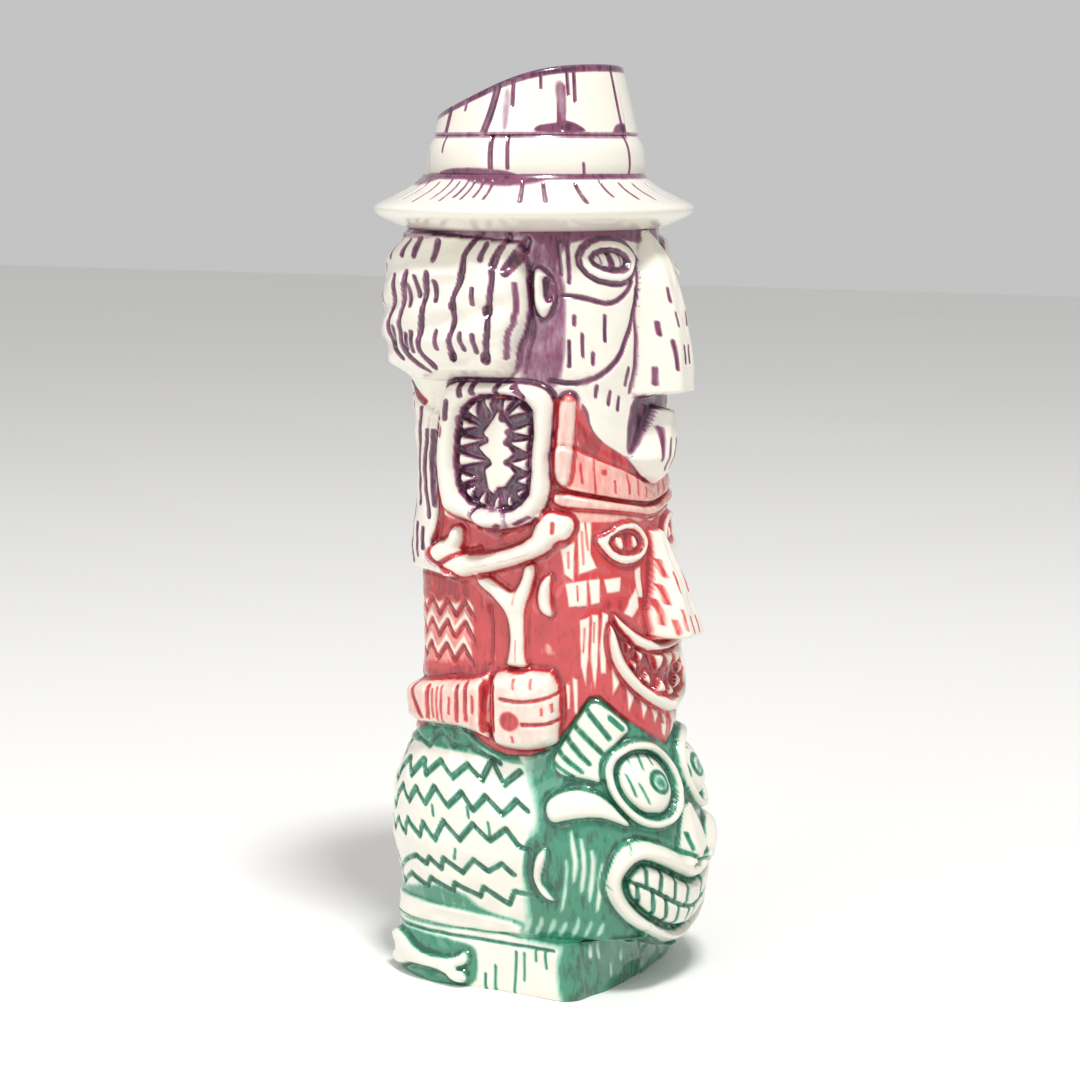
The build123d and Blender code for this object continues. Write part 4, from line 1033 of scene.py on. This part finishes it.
def build_tier(node, slot):
    """One hollow tier: its skin outside and the cup inside."""
    skin = body()
    cup = _work["cup"]
    first, last = skin.rows[node]
    outer = [skin.tier_points[r] for r in range(first, last + 1)]
    wash = [skin.wash[r] for r in range(first, last + 1)]
    plain = np.zeros(COLUMNS)
    low, high = float(np.max(outer[0][:, 2])), float(np.min(outer[-1][:, 2]))
    if node == "green_head":
        # The chin overhangs the foot, so the underside first runs back to the foot's own outline
        foot_top = skin.points[first - 1]
        outer.insert(0, foot_top)
        wash.insert(0, np.full(COLUMNS, UNDERSIDE_WASH))
    if node == "foot_plinth":
        # The underside is hollowed a little, so that the foot stands on its rim
        under = [outer[0] * [s, s, 0] + [0, 0, lift]
                 for s, lift in ((0.02, FOOT_HOLLOW), (0.80, FOOT_HOLLOW), (0.86, 0.0), (0.985, 0.0))]
        inside = [cup_loop(cup, z) for z in (FOOT_BED - 0.1, 13, 11, 9, FLOOR_TOP + 0.6)]
        floor = cup_loop(cup, FLOOR_TOP)
        inside += [floor * [s, s, 1] for s in (0.97, 0.5, 0.02)]
        loops = under + outer + inside
        faces = ring_loops(loops, False)
        count = len(loops) * COLUMNS
        faces.append(list(range(COLUMNS)))
        faces.append(list(range(count - 1, count - COLUMNS - 1, -1)))
        shades = [plain] * len(under) + wash + [plain] * len(inside)
    else:
        heights = np.linspace(high, low, 8)
        inside = [cup_loop(cup, z) for z in heights]
        if node == "green_head":
            inside[-1][:, 2] = FOOT_BED
        loops = outer + inside
        faces = ring_loops(loops, True)
        shades = wash + [plain] * len(inside)
    new_piece(node, np.concatenate(loops), faces, np.concatenate(shades), slot_material(slot))


def build_relief(name, slot, paired=False):
    """Every luted piece of one name; a paired piece has a right and a left one."""
    skin = body()
    if name not in skin.clay.pieces:
        raise RuntimeError("nothing was carved for " + name)
    mask = no_corner_contacts(skin.cells == skin.clay.pieces.index(name))
    sides = {name + "_right": slice(0, HALF_COLUMNS), name + "_left": slice(HALF_COLUMNS, COLUMNS)}
    for node, columns in (sides.items() if paired else {name: slice(0, COLUMNS)}.items()):
        own = np.zeros_like(mask)
        own[:, columns] = mask[:, columns]
        points, faces, wash = relief_solid(skin, own)
        new_piece(node, points, faces, wash, slot_material(slot))


# Hat ------------------------------------------------------------------------------------------------

HAT_COLUMNS = 720
CROWN_Y = -2.1


def hat_loops(profile, centre_y):
    """Loops round the hat's axis; a profile point is (radius, height)."""
    angle = np.arange(HAT_COLUMNS) / HAT_COLUMNS * 2 * math.pi
    loops = []
    for radius, z in profile:
        r = np.broadcast_to(np.asarray(radius, float), angle.shape)
        x = -r * np.sin(angle)
        y = centre_y - r * np.cos(angle)
        loops.append(np.stack([x, y, np.broadcast_to(np.asarray(z, float), angle.shape)], 1))
    return loops


def hat_clay(profile, radius_for_u):
    """Clay over a turned profile: u runs round from the front to the figure's right, z is the height."""
    angle = np.arange(HAT_COLUMNS) / HAT_COLUMNS * 2 * math.pi
    u = np.broadcast_to(angle * radius_for_u, (len(profile), HAT_COLUMNS)).copy()
    z = np.array([np.broadcast_to(np.asarray(p[1], float), angle.shape) for p in profile])
    return Clay(u, z)


def turned_piece(node, profile, clay, inside, slot, centre_y):
    """A turned ring: profile outside from bottom to top, displaced by its clay, then inside back down."""
    radius = np.array([np.broadcast_to(np.asarray(p[0], float), HAT_COLUMNS) for p in profile])
    height = np.array([np.broadcast_to(np.asarray(p[1], float), HAT_COLUMNS) for p in profile])
    along_r, along_z = np.gradient(radius, axis=0), np.gradient(height, axis=0)
    size = np.hypot(along_r, along_z) + 1e-9
    radius = radius + clay.height * along_z / size
    height = height - clay.height * along_r / size
    outer = hat_loops(list(zip(radius, height)), centre_y)
    loops = outer + hat_loops(inside, centre_y)
    shades = [row for row in clay.wash] + [np.zeros(HAT_COLUMNS)] * len(inside)
    new_piece(node, np.concatenate(loops), ring_loops(loops, True), np.concatenate(shades),
              slot_material(slot))


def along(points, step):
    """Points every step along a profile."""
    p = np.array(points, float)
    walked = np.r_[0, np.cumsum(np.hypot(*np.diff(p, axis=0).T))]
    at = np.linspace(0, walked[-1], max(2, int(walked[-1] / step)))
    return list(zip(np.interp(at, walked, p[:, 0]), np.interp(at, walked, p[:, 1])))


def build_brim(slot):
    """The brim: a disc that slopes up to the band, with short strokes round its top."""
    edge = bpy.context.scene.mug_sizes.brim_radius / MM
    start = [(31.0, 190.0), (33.0, 190.4), (37.6, 192.4), (edge - 0.9, 193.4), (edge - 0.1, 194.4),
             (edge, 195.2), (edge - 0.7, 196.1), (36, 197.8), (31.4, 200.0), (28.4, 202.4), (27.8, 203.4)]
    profile = along(rounded(start, False, 1), 0.35)
    sheet_radius = 36.0
    clay = hat_clay(profile, sheet_radius)
    edge_top = 196.0
    top = np.array([k for k, p in enumerate(profile) if p[1] > edge_top])
    rows = clay.z[top]
    whole = sheet_radius * 2 * math.pi
    upper = Clay(clay.u[top].copy(), rows.copy())
    for u, low, high, width in ((25.5, 197.3, 201, 1.1), (35, 197.6, 201.2, 1.0), (41, 197.6, 201.4, 1.1),
                                (50, 198, 202, 0.6), (53, 198.4, 202.2, 0.6), (56, 198, 202.2, 0.6),
                                (58.5, 198.4, 202, 0.7), (61.5, 197.6, 201.6, 0.6), (65, 198, 202, 0.6),
                                (70, 197.4, 201.4, 0.7), (76, 198, 201.8, 0.7), (10, 198, 201.2, 0.8),
                                (17, 198.6, 201.6, 0.8), (4, 197.8, 201, 0.7), (81, 198, 201, 0.8),
                                (87, 198.6, 202, 0.7), (94, 197.6, 201, 0.9), (101, 198, 201.6, 0.7)):
        for place in (u, whole - u):
            upper.cut([(place, low), (place, high)], width, 0.35, 0.9)
    upper.flood([(-10, 202.4), (whole + 10, 202.4), (whole + 10, 205), (-10, 205)], 0.9, 0.5, 0)
    for place in (46, whole - 46, 84):
        upper.flood([(place - 12, 202), (place, 200.6), (place + 14, 202), (place + 14, 204),
                     (place - 12, 204)], 0.85, 0.8)
    clay.height[top], clay.wash[top] = upper.height, upper.wash
    inner = [(21.5, 203.4), (22, 197), (22.6, 190.2)]
    turned_piece("hat_brim", profile, clay, inner, slot, HAT_Y)


def build_band(slot):
    """The band: a rounded strip round the foot of the crown."""
    full = bpy.context.scene.mug_sizes.band_radius / MM
    points = [(full - 0.6, 202.6), (full - 0.2, 204.2), (full, 206), (full - 0.4, 209.5),
              (full - 1.2, 211.4), (full - 2.0, 212.5), (full - 2.3, BAND_TOP)]
    profile = along(rounded(points, False, 2), 0.3)
    sheet_radius = 28.0
    clay = hat_clay(profile, sheet_radius)
    whole = sheet_radius * 2 * math.pi
    clay.flood([(-10, 202), (whole + 10, 202), (whole + 10, 203.5), (-10, 203.5)], 0.9, 0.4, 0)
    for place in (46, whole - 46):
        clay.flood([(place - 13, 202), (place - 11, 204.2), (place, 205.2), (place + 13, 204.4),
                    (place + 14, 202)], 0.85, 0.5)
    clay.flood([(-7, 212), (-3, 214), (whole, 214), (whole, 212.6), (6, 212)], 0.45, 0.4)
    for u, low, high, width in ((36.5, 205, 212.6, 0.9), (41, 205, 212.8, 1.3), (17, 203.5, 206, 0.7),
                                (58, 209, 212.6, 0.8), (67, 205, 209, 0.7), (78, 207, 212.4, 0.8)):
        for place in (u, whole - u):
            clay.cut([(place, low), (place + 0.3, high)], width, 0.3, 0.85)
    clay.cut([(1.5, 203), (1.6, 213)], 1.0, 0.4, 0.9)
    turned_piece("hat_band", profile, clay, [(20.6, BAND_TOP), (21.5, 203.2)], slot, CROWN_Y)


def build_crown(slot):
    """The crown: a cone cut off at a slant, open at the top, with runs of wash down its sides."""
    angle = np.arange(HAT_COLUMNS) / HAT_COLUMNS * 2 * math.pi
    sizes = bpy.context.scene.mug_sizes
    back_height = sizes.crown_back / MM
    middle, slant = (MUG_TOP + back_height) / 2, (MUG_TOP - back_height) / 2
    ahead = np.cos(angle)
    swell, wave = 0.8, 0.9
    rim = middle + slant * ahead + swell * (1 - ahead ** 2) + wave * np.sin(math.pi * ahead)
    rows, taper, lip, lip_width = 48, 0.235, 0.7, 1.3
    profile = []
    for k in range(rows + 1):
        z = BAND_TOP + (rim - lip - BAND_TOP) * k / rows
        profile.append((sizes.crown_radius / MM - (z - BAND_TOP) * taper, z))
    lip_radius = profile[-1][0]
    for turn in (30, 60, 90, 120, 150):
        a = math.radians(turn)
        profile.append((lip_radius - lip_width * (1 - math.cos(a)), rim - lip + lip * math.sin(a)))
    sheet_radius = 24.0
    clay = hat_clay(profile, sheet_radius)
    whole = sheet_radius * 2 * math.pi
    edge = np.broadcast_to(rim, clay.z.shape)
    rim_wash = 0.95 * soft_step(clay.z - edge, -2.2, -1.3) * soft_step(clay.z, BAND_TOP, BAND_TOP + 2)
    clay.wash = np.maximum(clay.wash, rim_wash)
    clay.flood([(-8, 212), (-5, 215), (4, 216), (6, 212)], 0.85, 0.5)
    drips = (([(15, 228), (15.4, 221)], 0.9), ([(17, 228), (17, 222.5)], 0.8),
             ([(18.8, 224), (19.4, 214.6)], 2.0),
             ([(31, 226), (31, 220)], 0.9), ([(35.2, 224), (36.4, 218), (38, 213)], 1.8),
             ([(24, 227), (24, 224)], 0.7), ([(44, 224), (44.4, 219)], 0.8),
             ([(50, 222), (50.6, 214)], 1.6),
             ([(60, 220), (60, 215.6)], 0.9))
    for stroke, width in drips:
        clay.cut(stroke, width, 0.35, 0.9)
        clay.cut([(whole - u, z) for u, z in stroke], width, 0.35, 0.9)
    clay.flood([(13, 213.4), (26, 213.4), (25, 215.2), (21, 215.6), (18, 216.4), (14.5, 215)], 0.9, 0.4)
    clay.flood([(whole - 26, 213.4), (whole - 13, 213.4), (whole - 15, 215.2), (whole - 24, 215)], 0.9, 0.4)
    for place in (whole - 16, 16):
        clay.flood([(place + 1.6, 225.5), (place + 4.6, 226), (place + 4.2, 219), (place + 2.6, 214.5),
                    (place + 1.8, 219)], 0.42, 0.9)
        clay.flood([(place + 15.4, 224), (place + 17.6, 224), (place + 17.4, 214), (place + 15.6, 214)],
                   0.35, 0.8)
    clay.cut([(1.4, 213), (1.7, 229)], 1.0, 0.4, 0.9)
    clay.flood([(-10, 212.4), (whole + 10, 212.4), (whole + 10, 213.6), (-10, 213.6)], 0.5, 0.3, 0)
    inside = [(profile[-1][0] - 0.4, rim - 0.9), (profile[-1][0] - 0.6, rim - 3), (20.6, BAND_TOP)]
    turned_piece("hat_crown", profile, clay, inside, slot, CROWN_Y)


# Glazes ---------------------------------------------------------------------------------------------

def add_node(tree, kind, settings=None, links=None):
    """Adds a shader node, sets its properties and inputs, and joins the inputs named in links."""
    node = tree.nodes.new(kind)
    for key, value in (settings or {}).items():
        if isinstance(key, str) and hasattr(node, key):
            setattr(node, key, value)
        else:
            node.inputs[key].default_value = value
    for key, source in (links or {}).items():
        tree.links.new(source, node.inputs[key])
    return node


def washed_glaze(name, cream, thin, full, deep, sizes):
    """Slip-cast earthenware in a cream glaze, brushed with a coloured wash that was wiped off the high
    places. The eye gets clean glossy cream on what stands out, streaky colour on broad hollows, dark pooled
    lines in the cuts, and small sharp highlights over everything."""
    material = bpy.data.materials.new(name)
    material.use_nodes = True
    tree = material.node_tree
    tree.nodes.clear()
    where = add_node(tree, "ShaderNodeTexCoord")
    # Brush streaks, about three times as long as they are wide
    streak_map = add_node(tree, "ShaderNodeMapping", {"Scale": (1.0, 1.0, 0.3)},
                          {"Vector": where.outputs["Object"]})
    streaks = add_node(tree, "ShaderNodeTexNoise",
                       {"Scale": 1 / sizes.streak, "Detail": 3.0, "Roughness": 0.55},
                       {"Vector": streak_map.outputs["Vector"]})
    # Thick and thin places
    clouds = add_node(tree, "ShaderNodeTexNoise", {"Scale": 1 / sizes.cloud, "Detail": 2.0},
                      {"Vector": where.outputs["Object"]})
    both = add_node(tree, "ShaderNodeMath", {"operation": "MULTIPLY_ADD", 1: 0.55},
                    {0: clouds.outputs["Fac"], 2: streaks.outputs["Fac"]})
    spread = add_node(tree, "ShaderNodeMath", {"operation": "MULTIPLY_ADD", 1: 1.15, 2: 0.12},
                      {0: both.outputs[0]})
    wash = add_node(tree, "ShaderNodeAttribute", {"attribute_type": "GEOMETRY", "attribute_name": "wash"})
    amount = add_node(tree, "ShaderNodeMath", {"operation": "MULTIPLY", "use_clamp": True},
                      {0: wash.outputs["Fac"], 1: spread.outputs[0]})
    ramp = add_node(tree, "ShaderNodeValToRGB", {}, {"Fac": amount.outputs[0]})
    stops = ramp.color_ramp.elements
    stops[0].position, stops[0].color = 0.10, (*cream, 1)
    stops[1].position, stops[1].color = 1.0, (*deep, 1)
    for place, colour in ((0.34, thin), (0.62, full), (0.82, full)):
        stop = stops.new(place)
        stop.color = (*colour, 1)
    # The glaze settles in soft waves, far shallower than the carving
    ripple = add_node(tree, "ShaderNodeTexNoise", {"Scale": 1 / sizes.ripple, "Detail": 1.0},
                      {"Vector": where.outputs["Object"]})
    bump = add_node(tree, "ShaderNodeBump", {"Strength": 0.25, "Distance": sizes.ripple_depth},
                    {"Height": ripple.outputs["Fac"]})
    surface = add_node(tree, "ShaderNodeBsdfPrincipled",
                       {"Roughness": 0.28, "IOR": 1.5, "Coat Weight": 1.0, "Coat Roughness": 0.06,
                        "Coat IOR": 1.5},
                       {"Base Color": ramp.outputs["Color"], "Normal": bump.outputs["Normal"]})
    add_node(tree, "ShaderNodeOutputMaterial", {}, {"Surface": surface.outputs["BSDF"]})
    return material


GREEN = "green_wash_glaze"
RED = "red_wash_glaze"
PURPLE = "purple_wash_glaze"
# Each slot's material name, and the settings for its wash: thin, full and pooled
GLAZES = {
    GREEN: ("green_washed_earthenware_glaze", "green_thin", "green", "green_deep"),
    RED: ("red_washed_earthenware_glaze", "red_thin", "red", "red_deep"),
    PURPLE: ("purple_washed_earthenware_glaze", "purple_thin", "purple", "purple_deep"),
}


def length_property(name, text, default):
    """A length setting, in metres."""
    return bpy.props.FloatProperty(name=name, description=text, default=default, min=0.0, precision=5,
                                   subtype="DISTANCE", unit="LENGTH")


def colour_property(name, text, hex_colour):
    """A colour setting with an sRGB hex default."""
    return bpy.props.FloatVectorProperty(name=name, description=text, subtype="COLOR", size=3, min=0, max=1,
                                         default=linear(hex_colour))


class MugGlaze(bpy.types.PropertyGroup):
    """Colours of the glaze and its washes."""

    cream: colour_property("Cream", "Bare glaze on what stands out", "#EAE5D8")
    green_thin: colour_property("Thin green", "Green wash where it is nearly wiped off", "#93C7AE")
    green: colour_property("Green", "Green wash at full strength", "#2F8566")
    green_deep: colour_property("Deep green", "Green wash pooled in cuts", "#1A5843")
    red_thin: colour_property("Thin red", "Red wash where it is nearly wiped off", "#E59A8E")
    red: colour_property("Red", "Red wash at full strength", "#C4373B")
    red_deep: colour_property("Deep red", "Red wash pooled in cuts", "#9A1D29")
    purple_thin: colour_property("Thin purple", "Purple wash where it is nearly wiped off", "#AD8A9C")
    purple: colour_property("Purple", "Purple wash at full strength", "#7A3A5B")
    purple_deep: colour_property("Deep purple", "Purple wash pooled in cuts", "#451D3A")


class MugSizes(bpy.types.PropertyGroup):
    """Sizes of the hat and of the marks left by brush and glaze."""

    brim_radius: length_property("Brim", "Radius of the hat's brim at its edge", 0.0403)
    band_radius: length_property("Band", "Radius of the hat band at its fullest", 0.0274)
    crown_radius: length_property("Crown", "Radius of the crown where it leaves the band", 0.0255)
    crown_back: length_property("Back of the rim", "Height of the rim at the back, above the table", 0.2174)
    streak: length_property("Brush streak", "Distance from one brush streak to the next", 0.0014)
    cloud: length_property("Cloud", "Width of thick and thin places in the wash", 0.009)
    ripple: length_property("Ripple", "Width of the soft waves in the glaze", 0.004)
    ripple_depth: length_property("Ripple depth", "Depth of the soft waves in the glaze", 0.00012)


class MugStage(bpy.types.PropertyGroup):
    """Floor, lights and camera."""

    floor_size: bpy.props.FloatProperty(name="Floor", description="Width of the floor", default=6.0,
                                        subtype="DISTANCE", unit="LENGTH")
    floor_colour: colour_property("Floor colour", "Pale board under the mug", "#F4F3F0")
    key_power: bpy.props.FloatProperty(name="Key light", description="Power of the main light",
                                       default=15.0, unit="POWER")
    fill_power: bpy.props.FloatProperty(name="Fill light", description="Power of the second light",
                                        default=4.0, unit="POWER")
    sky: bpy.props.FloatProperty(name="Sky", description="Strength of the light from all round",
                                 default=0.55)
    lens: bpy.props.FloatProperty(name="Lens", description="Focal length in millimetres", default=80.39)


# Operators ------------------------------------------------------------------------------------------

class MUG_OT_foot(bpy.types.Operator):
    """Builds the square foot with its floor, and the bones on its sides."""

    bl_idname = "mug.foot"
    bl_label = "Foot"

    def execute(self, context):
        build_tier("foot_plinth", GREEN)
        build_relief("foot_bone", GREEN, True)
        return {"FINISHED"}


class MUG_OT_head_tiers(bpy.types.Operator):
    """Builds the hollow walls of the three heads and the helmet."""

    bl_idname = "mug.head_tiers"
    bl_label = "Head tiers"

    def execute(self, context):
        build_tier("green_head", GREEN)
        build_tier("red_head", RED)
        build_tier("helmet", RED)
        build_tier("top_head", PURPLE)
        return {"FINISHED"}


class MUG_OT_lips(bpy.types.Operator):
    """Builds the lips of the two lower faces."""

    bl_idname = "mug.lips"
    bl_label = "Lips"

    def execute(self, context):
        build_relief("lips_green", GREEN)
        build_relief("lips_red", RED)
        return {"FINISHED"}


class MUG_OT_teeth(bpy.types.Operator):
    """Builds the teeth of the two lower faces."""

    bl_idname = "mug.teeth"
    bl_label = "Teeth"

    def execute(self, context):
        build_relief("teeth_green", GREEN)
        build_relief("teeth_red", RED)
        return {"FINISHED"}


class MUG_OT_noses(bpy.types.Operator):
    """Builds the three noses and the top face's chin."""

    bl_idname = "mug.noses"
    bl_label = "Noses and chin"

    def execute(self, context):
        build_relief("nose_green", GREEN)
        build_relief("nose_red", RED)
        build_relief("nose_top", PURPLE)
        build_relief("chin_top", PURPLE)
        return {"FINISHED"}


class MUG_OT_eyes(bpy.types.Operator):
    """Builds the eyes of the three faces."""

    bl_idname = "mug.eyes"
    bl_label = "Eyes"

    def execute(self, context):
        build_relief("eye_ring_green", GREEN, True)
        build_relief("eyeball_green", GREEN, True)
        build_relief("eye_red", RED, True)
        build_relief("eye_top", PURPLE, True)
        return {"FINISHED"}


class MUG_OT_brows(bpy.types.Operator):
    """Builds the bottom face's brows and cheek ridges."""

    bl_idname = "mug.brows"
    bl_label = "Brows and ridges"

    def execute(self, context):
        build_relief("brow_green", GREEN, True)
        build_relief("ridge_green", GREEN, True)
        return {"FINISHED"}


class MUG_OT_ears(bpy.types.Operator):
    """Builds the ears of the three heads."""

    bl_idname = "mug.ears"
    bl_label = "Ears"

    def execute(self, context):
        build_relief("ear_green", GREEN, True)
        build_relief("ear_red", RED, True)
        build_relief("ear_top", PURPLE, True)
        return {"FINISHED"}


class MUG_OT_helmet_trim(bpy.types.Operator):
    """Builds the helmet's headband and its side posts."""

    bl_idname = "mug.helmet_trim"
    bl_label = "Headband and posts"

    def execute(self, context):
        build_relief("headband", RED)
        build_relief("helmet_post", RED, True)
        return {"FINISHED"}


class MUG_OT_arms(bpy.types.Operator):
    """Builds the fists and forearms."""

    bl_idname = "mug.arms"
    bl_label = "Fists and forearms"

    def execute(self, context):
        build_relief("fist", RED, True)
        build_relief("forearm", RED, True)
        return {"FINISHED"}


class MUG_OT_bones(bpy.types.Operator):
    """Builds the crossing bones and the forked bones held in the fists."""

    bl_idname = "mug.bones"
    bl_label = "Bones"

    def execute(self, context):
        build_relief("cross_bone", RED, True)
        build_relief("forked_bone", RED, True)
        return {"FINISHED"}


class MUG_OT_jaw_rings(bpy.types.Operator):
    """Builds the toothed jaw rings worn at the ears."""

    bl_idname = "mug.jaw_rings"
    bl_label = "Jaw rings"

    def execute(self, context):
        build_relief("jaw_ring", PURPLE, True)
        build_relief("jaw_teeth", PURPLE, True)
        build_relief("jaw_knuckle", PURPLE, True)
        return {"FINISHED"}


class MUG_OT_hair(bpy.types.Operator):
    """Builds the rolled hair and the hair down the back."""

    bl_idname = "mug.hair"
    bl_label = "Hair"

    def execute(self, context):
        build_relief("hair_roll", PURPLE)
        build_relief("back_hair", PURPLE)
        return {"FINISHED"}


class MUG_OT_hat(bpy.types.Operator):
    """Builds the hat: brim, band and slanted open crown."""

    bl_idname = "mug.hat"
    bl_label = "Hat"

    def execute(self, context):
        build_brim(PURPLE)
        build_band(PURPLE)
        build_crown(PURPLE)
        return {"FINISHED"}


def area_light(name, place, aim, power, size):
    """A soft square light, aimed at a point."""
    light = bpy.data.lights.new(name, "AREA")
    light.energy, light.size = power, size
    lamp = bpy.data.objects.new(name, light)
    lamp.location = place
    lamp.rotation_euler = (Vector(aim) - Vector(place)).to_track_quat("-Z", "Y").to_euler()
    bpy.context.scene.collection.objects.link(lamp)


class MUG_OT_stage(bpy.types.Operator):
    """Lays the floor, hangs the lights and sets up the camera."""

    bl_idname = "mug.stage"
    bl_label = "Stage"

    def execute(self, context):
        scene = context.scene
        wish = scene.mug_stage
        half = wish.floor_size / 2
        mesh = bpy.data.meshes.new("floor")
        corners = [(-half, -half, 0), (half, -half, 0), (half, half, 0), (-half, half, 0)]
        mesh.from_pydata(corners, [], [(0, 1, 2, 3)])
        floor = bpy.data.objects.new("floor", mesh)
        scene.collection.objects.link(floor)
        # Painted board: matt, with a tone that barely drifts from place to place
        board = bpy.data.materials.new("matt_painted_board")
        board.use_nodes = True
        tree = board.node_tree
        tree.nodes.clear()
        where = add_node(tree, "ShaderNodeTexCoord")
        drift = add_node(tree, "ShaderNodeTexNoise", {"Scale": 3.0}, {"Vector": where.outputs["Object"]})
        tone = add_node(tree, "ShaderNodeValToRGB", {}, {"Fac": drift.outputs["Fac"]})
        pale = Vector(wish.floor_colour)
        tone.color_ramp.elements[0].color = (*(pale * 0.97), 1)
        tone.color_ramp.elements[1].color = (*pale, 1)
        paint = add_node(tree, "ShaderNodeBsdfPrincipled", {"Roughness": 0.8},
                         {"Base Color": tone.outputs["Color"]})
        add_node(tree, "ShaderNodeOutputMaterial", {}, {"Surface": paint.outputs["BSDF"]})
        mesh.materials.append(board)
        area_light("key", KEY_PLACE, LIGHT_AIM, wish.key_power, KEY_SIZE)
        area_light("fill", FILL_PLACE, LIGHT_AIM, wish.fill_power, FILL_SIZE)
        world = bpy.data.worlds.new("studio")
        world.use_nodes = True
        sky = world.node_tree.nodes["Background"]
        sky.inputs["Color"].default_value = (1, 1, 1, 1)
        sky.inputs["Strength"].default_value = wish.sky
        scene.world = world
        camera = bpy.data.cameras.new("camera")
        camera.lens = wish.lens
        camera.sensor_width = SENSOR_WIDTH
        camera.shift_x = CAMERA_SHIFT
        eye = bpy.data.objects.new("camera", camera)
        eye.location = CAMERA_PLACE
        eye.rotation_euler = (math.radians(CAMERA_TILT), 0, math.radians(CAMERA_TURN))
        scene.collection.objects.link(eye)
        scene.camera = eye
        scene.view_settings.view_transform = "Standard"
        return {"FINISHED"}


OPERATORS = (MUG_OT_foot, MUG_OT_head_tiers, MUG_OT_lips, MUG_OT_teeth, MUG_OT_noses, MUG_OT_eyes,
             MUG_OT_brows, MUG_OT_ears, MUG_OT_helmet_trim, MUG_OT_arms, MUG_OT_bones,
             MUG_OT_jaw_rings, MUG_OT_hair, MUG_OT_hat, MUG_OT_stage)


class MUG_PT_panel(bpy.types.Panel):
    """Lists the mug's settings and the steps that build it."""

    bl_idname = "MUG_PT_panel"
    bl_label = "Three-headed mug"
    bl_space_type = "VIEW_3D"
    bl_region_type = "UI"
    bl_category = "Mug"

    def draw(self, context):
        for group in (context.scene.mug_sizes, context.scene.mug_glaze, context.scene.mug_stage):
            for name in group.__annotations__:
                self.layout.prop(group, name)
        for operator in OPERATORS:
            self.layout.operator(operator.bl_idname)


CLASSES = (MugSizes, MugGlaze, MugStage, *OPERATORS, MUG_PT_panel)


def register():
    """Registers the classes and hangs the settings on the scene."""
    for cls in CLASSES:
        bpy.utils.register_class(cls)
    bpy.types.Scene.mug_sizes = bpy.props.PointerProperty(type=MugSizes)
    bpy.types.Scene.mug_glaze = bpy.props.PointerProperty(type=MugGlaze)
    bpy.types.Scene.mug_stage = bpy.props.PointerProperty(type=MugStage)


def unregister():
    """Takes back what register added."""
    del bpy.types.Scene.mug_stage
    del bpy.types.Scene.mug_glaze
    del bpy.types.Scene.mug_sizes
    for cls in reversed(CLASSES):
        bpy.utils.unregister_class(cls)


def main():
    """Builds the mug and its stage."""
    register()
    for operator in OPERATORS:
        group, name = operator.bl_idname.split(".")
        getattr(getattr(bpy.ops, group), name)()


if __name__ == "__main__":
    main()
